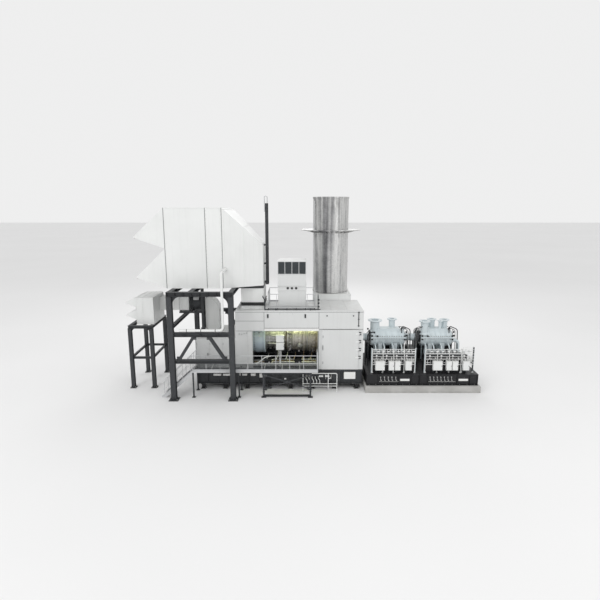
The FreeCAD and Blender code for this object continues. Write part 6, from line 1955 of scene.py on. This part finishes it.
def instrument_boxes():
    box_low, box_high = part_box("instrument_boxes")
    boxes = Piece("compressor_instrument_boxes", WHITE)
    unit_pitch, tall, z = 4.10, box_high.z - box_low.z, box_low.z
    for start in (box_low.x, box_low.x + unit_pitch):
        for offset, wide in ((0, 0.66), (0.95, 0.38), (1.38, 0.40), (2.13, 0.45)):
            x = start + offset
            boxes.block((x, box_low.y + 0.02, z), (x + wide, box_high.y, z + tall))
            boxes.block((x + 0.015, box_low.y, z + 0.015), (x + wide - 0.015, box_low.y + 0.03,
                    z + tall - 0.015))
            boxes.block((x - 0.008, box_low.y + 0.01, z + tall), (x + wide + 0.008, box_high.y,
                    z + tall + 0.015))
            for dz in (0.1, tall - 0.1):
                boxes.about((x + 0.01, box_low.y - 0.002, z + dz), (0.025, 0.02, 0.07), STEEL)
            boxes.about((x + wide - 0.05, box_low.y - 0.004, z + tall / 2), (0.025, 0.016, 0.09), CHARCOAL)
            for dx in spread(0.08, wide - 0.08, 3):
                boxes.lathe((x + dx, (box_low.y + box_high.y) / 2, z), -UP, plug(0.022, 0.03, -0.01), STEEL,
                        10)
                boxes.pipe([(x + dx, (box_low.y + box_high.y) / 2, z - 0.02),
                        (x + dx, (box_low.y + box_high.y) / 2, BASE_HIGH.z + 0.03),
                        (x + dx, box_high.y + 0.2, BASE_HIGH.z + 0.03)], 0.012, CHARCOAL, 0.03, 8)
    boxes.done("white_panel", "instrument_boxes", bevel=0.003)


def process_pipes():
    """Gas and oil pipes round the casing ends, with dark valves, consoles and tanks beside the casings."""
    piece = Piece("compressor_oil_and_gas_pipes", COMPRESSOR)
    y = (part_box("first_compressor")[0].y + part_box("first_compressor")[1].y) / 2
    z = (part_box("first_compressor")[0].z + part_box("first_compressor")[1].z) / 2
    for node in ("first_compressor", "second_compressor"):
        start, end = casing_span(node)
        for x, lean in ((start - 0.05, -1), (end + 0.05, 1)):
            for number, (dy, top, reach) in enumerate(((-0.5, 1.25, 0.34), (-0.3, 1.05, 0.24),
                    (0.45, 0.95, 0.28))):
                radius = 0.035 - number * 0.007
                if lean < 0 and node == "first_compressor":
                    top, reach = top * 0.55, reach * 0.5
                piece.pipe([(x - lean * 0.3, y + dy, z + 0.45), (x - lean * 0.3, y + dy, z + top * 0.78),
                        (x + lean * reach, y + dy * 0.8, z + top * 0.55), (x + lean * reach, y + dy,
                        z - 0.1), (x + lean * reach, y + dy * 1.6, BASE_HIGH.z + 0.05)], radius,
                        CHARCOAL if number != 1 else STEEL, 0.18, 10)
                piece.lathe((x - lean * 0.3, y + dy, z + top * 0.62), UP, plug(0.06, 0.1), BLACK, 16)
            for dy, dz in ((-0.44, 0.5), (-0.58, 0.26), (0.5, 0.5)):
                piece.lathe((x + lean * 0.05, y + dy, z + dz), (0, -1, 0), [(-0.06, 0), (-0.06, 0.05),
                        (0.04, 0.075), (0.09, 0.05), (0.09, 0)], BLACK, 16)
        for x in spread(start + 0.3, end - 0.3, 4):
            piece.pipe([(x, y - 0.5, z - 0.35), (x, y - 0.95, z - 0.5), (x, y - 1.05, z - 0.9),
                    (x, y - 1.05, BASE_HIGH.z)], 0.055, COMPRESSOR, 0.2, 12)
            piece.ring((x, y - 1.05, z - 1.3), UP, 0.05, 0.09, 0.03, COMPRESSOR, 18)
            piece.pipe([(x + 0.2, y + 0.5, z - 0.35), (x + 0.2, y + 0.95, z - 0.5), (x + 0.2, y + 1.05,
                    z - 0.9), (x + 0.2, y + 1.05, BASE_HIGH.z)], 0.055, COMPRESSOR, 0.2, 12)
        left = BASE_LOW.x + (0.42 if node == "first_compressor" else 4.2)
        for side in (-1, 1):
            console = y + side * 1.75 - (0 if side < 0 else 0.2)
            piece.block((left, console - 0.3, BASE_HIGH.z), (left + 3.0, console + 0.3, BASE_HIGH.z + 1.25),
                    BLACK)
            piece.block((left - 0.03, console - 0.33, BASE_HIGH.z + 1.25), (left + 3.03, console + 0.33,
                    BASE_HIGH.z + 1.29), CHARCOAL)
            for x in spread(left + 0.02, left + 2.98, 6):
                piece.about((x, console + side * 0.31, BASE_HIGH.z + 0.62), (0.05, 0.03, 1.22), CHARCOAL)
        piece.about(((start + end) / 2 - 0.1, y + 1.45, BASE_HIGH.z + 0.35), (1.5, 0.5, 0.7), BLACK)
        piece.about(((start + end) / 2 - 0.1, y + 1.45, BASE_HIGH.z + 0.72), (1.56, 0.56, 0.04), CHARCOAL)
        for x in spread(start + 0.6, end - 0.8, 3):
            piece.lathe((x, y + 1.45, BASE_HIGH.z + 0.74), UP, [(0, 0), (0, 0.12), (0.3, 0.12),
                    (0.34, 0.06), (0.4, 0.06), (0.4, 0)], WHITE, 20)
            piece.pipe([(x, y + 1.45, BASE_HIGH.z + 1.12), (x, y + 1.45, BASE_HIGH.z + 1.3),
                    (x + 0.1, y + 1.0, BASE_HIGH.z + 1.4), (x + 0.1, y + 0.6, z - 0.1)], 0.04, WHITE, 0.15,
                    10)
    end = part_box("second_compressor")[1].x
    elbow = [(end - 0.5, y - 0.45, z - 0.12), (end + 0.35, y - 0.45, z - 0.12), (end + 0.35, y - 0.45,
            BASE_HIGH.z)]
    piece.pipe(elbow, 0.13, COMPRESSOR, 0.34, 24)
    piece.ring((end + 0.35, y - 0.45, BASE_HIGH.z + 0.3), UP, 0.12, 0.2, 0.05, COMPRESSOR, 28)
    piece.about((end + 0.62, y + 0.4, BASE_HIGH.z + 0.4), (0.5, 0.9, 0.8), WHITE)
    piece.about((end + 0.62, y + 0.4, BASE_HIGH.z + 0.83), (0.56, 0.96, 0.06))
    between = (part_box("first_compressor")[1].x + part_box("second_compressor")[0].x) / 2
    piece.about((between + 0.1, y + 0.3, BASE_HIGH.z + 0.6), (0.7, 1.3, 1.2), BLACK)
    piece.about((between - 0.2, y - 0.75, BASE_HIGH.z + 0.45), (0.35, 0.35, 0.9), CHARCOAL)
    piece.done("compressor_paint")


# ------------------------------------------------------------------------------------ all together

BUILDERS = (filter_house, filter_transition, weather_hoods, intake_duct, filter_ladder, main_frame,
        bleed_pipe, package_base, jacking_feet, front_wall, rear_wall, end_walls, bay_lining, auxiliary_bay,
        roof_deck, roof_gear, roof_handrails, exhaust_door, inlet_casing, compressor_section,
        combustor_section, power_section, exhaust_collector, turbine_supports, junction_boxes,
        air_outlet_tower, vent_filter, vent_duct, vent_fan, fan_platform, exhaust_plenum, plenum_legs,
        exhaust_stack, walkway_floor, walkway_supports, walkway_handrails, entry_stair, pipe_rack, plinth,
        bases, nozzles, shaft_guards, pedestals, instruments, instrument_boxes, process_pipes)
for build in BUILDERS:
    build()
compressor_body("first_compressor_casing", "first_compressor", -1)
compressor_body("second_compressor_casing", "second_compressor", -1)

for name, finish in (("door_hinge_arms", WHITE), ("door_hinge_pins", CHARCOAL)):
    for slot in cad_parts[name].material_slots:
        slot.material = finish


# ------------------------------------------------------------------------------------ floor, light and camera

def pale_floor():
    paint = Paint("pale_floor")
    cloud = paint.noise(0.05, 2)
    paint.set(Base_Color=paint.blend((0.80, 0.80, 0.80), (0.86, 0.86, 0.86), cloud), Roughness=0.9)
    mesh = bpy.data.meshes.new("floor")
    wide = 400
    under = -0.004
    corners = [(x, y, under) for x, y in outline((-wide, -wide), (wide, wide))]
    mesh.from_pydata(corners, [], [(0, 1, 2, 3)])
    mesh.materials.append(paint.material)
    made = bpy.data.objects.new("floor", mesh)
    bpy.context.scene.collection.objects.link(made)


def soft_light(name, place, aim, wide, power, colour=(1, 1, 1)):
    light = bpy.data.lights.new(name, "AREA")
    light.shape = "DISK"
    light.size = wide
    light.energy = power
    light.color = colour
    made = bpy.data.objects.new(name, light)
    made.location = place
    made.rotation_mode = "QUATERNION"
    made.rotation_quaternion = (Vector(aim) - Vector(place)).to_track_quat("-Z", "Y")
    bpy.context.scene.collection.objects.link(made)


pale_floor()
soft_light("key_light", (-22, -34, 34), (0, 0, 4), 22, 4200)
soft_light("fill_light", (26, -30, 18), (2, 0, 4), 20, 1500)
soft_light("back_light", (0, 34, 30), (0, 0, 5), 24, 3000)
for x in spread(BAY_LEFT + 2.9, BAY_MIDDLE - 0.6, 3):
    name = "bay_light_" + str(round(x * 10)).replace("-", "m")
    soft_light(name, (x, FRONT + 0.42, ROOF - 0.3), (x, SHAFT_Y - 0.4, SHAFT_Z), 0.5, 16, (0.92, 1.0, 0.55))

world = bpy.data.worlds.new("studio")
world.use_nodes = True
backdrop = world.node_tree.nodes["Background"].inputs
backdrop["Color"].default_value = (1, 1, 1, 1)
backdrop["Strength"].default_value = 0.86
bpy.context.scene.world = world
bpy.context.scene.view_settings.view_transform = "Standard"

camera = bpy.data.cameras.new("studio_camera")
camera.sensor_width = 36
camera.lens = 27.87
camera.shift_x = -0.0008
camera.clip_end = 600
down_tilt = 11.16
viewer = bpy.data.objects.new("studio_camera", camera)
viewer.location = (-0.12, -34.8525, 12.9)
viewer.rotation_euler = (math.radians(90 - down_tilt), 0, 0)
bpy.context.scene.collection.objects.link(viewer)
bpy.context.scene.camera = viewer
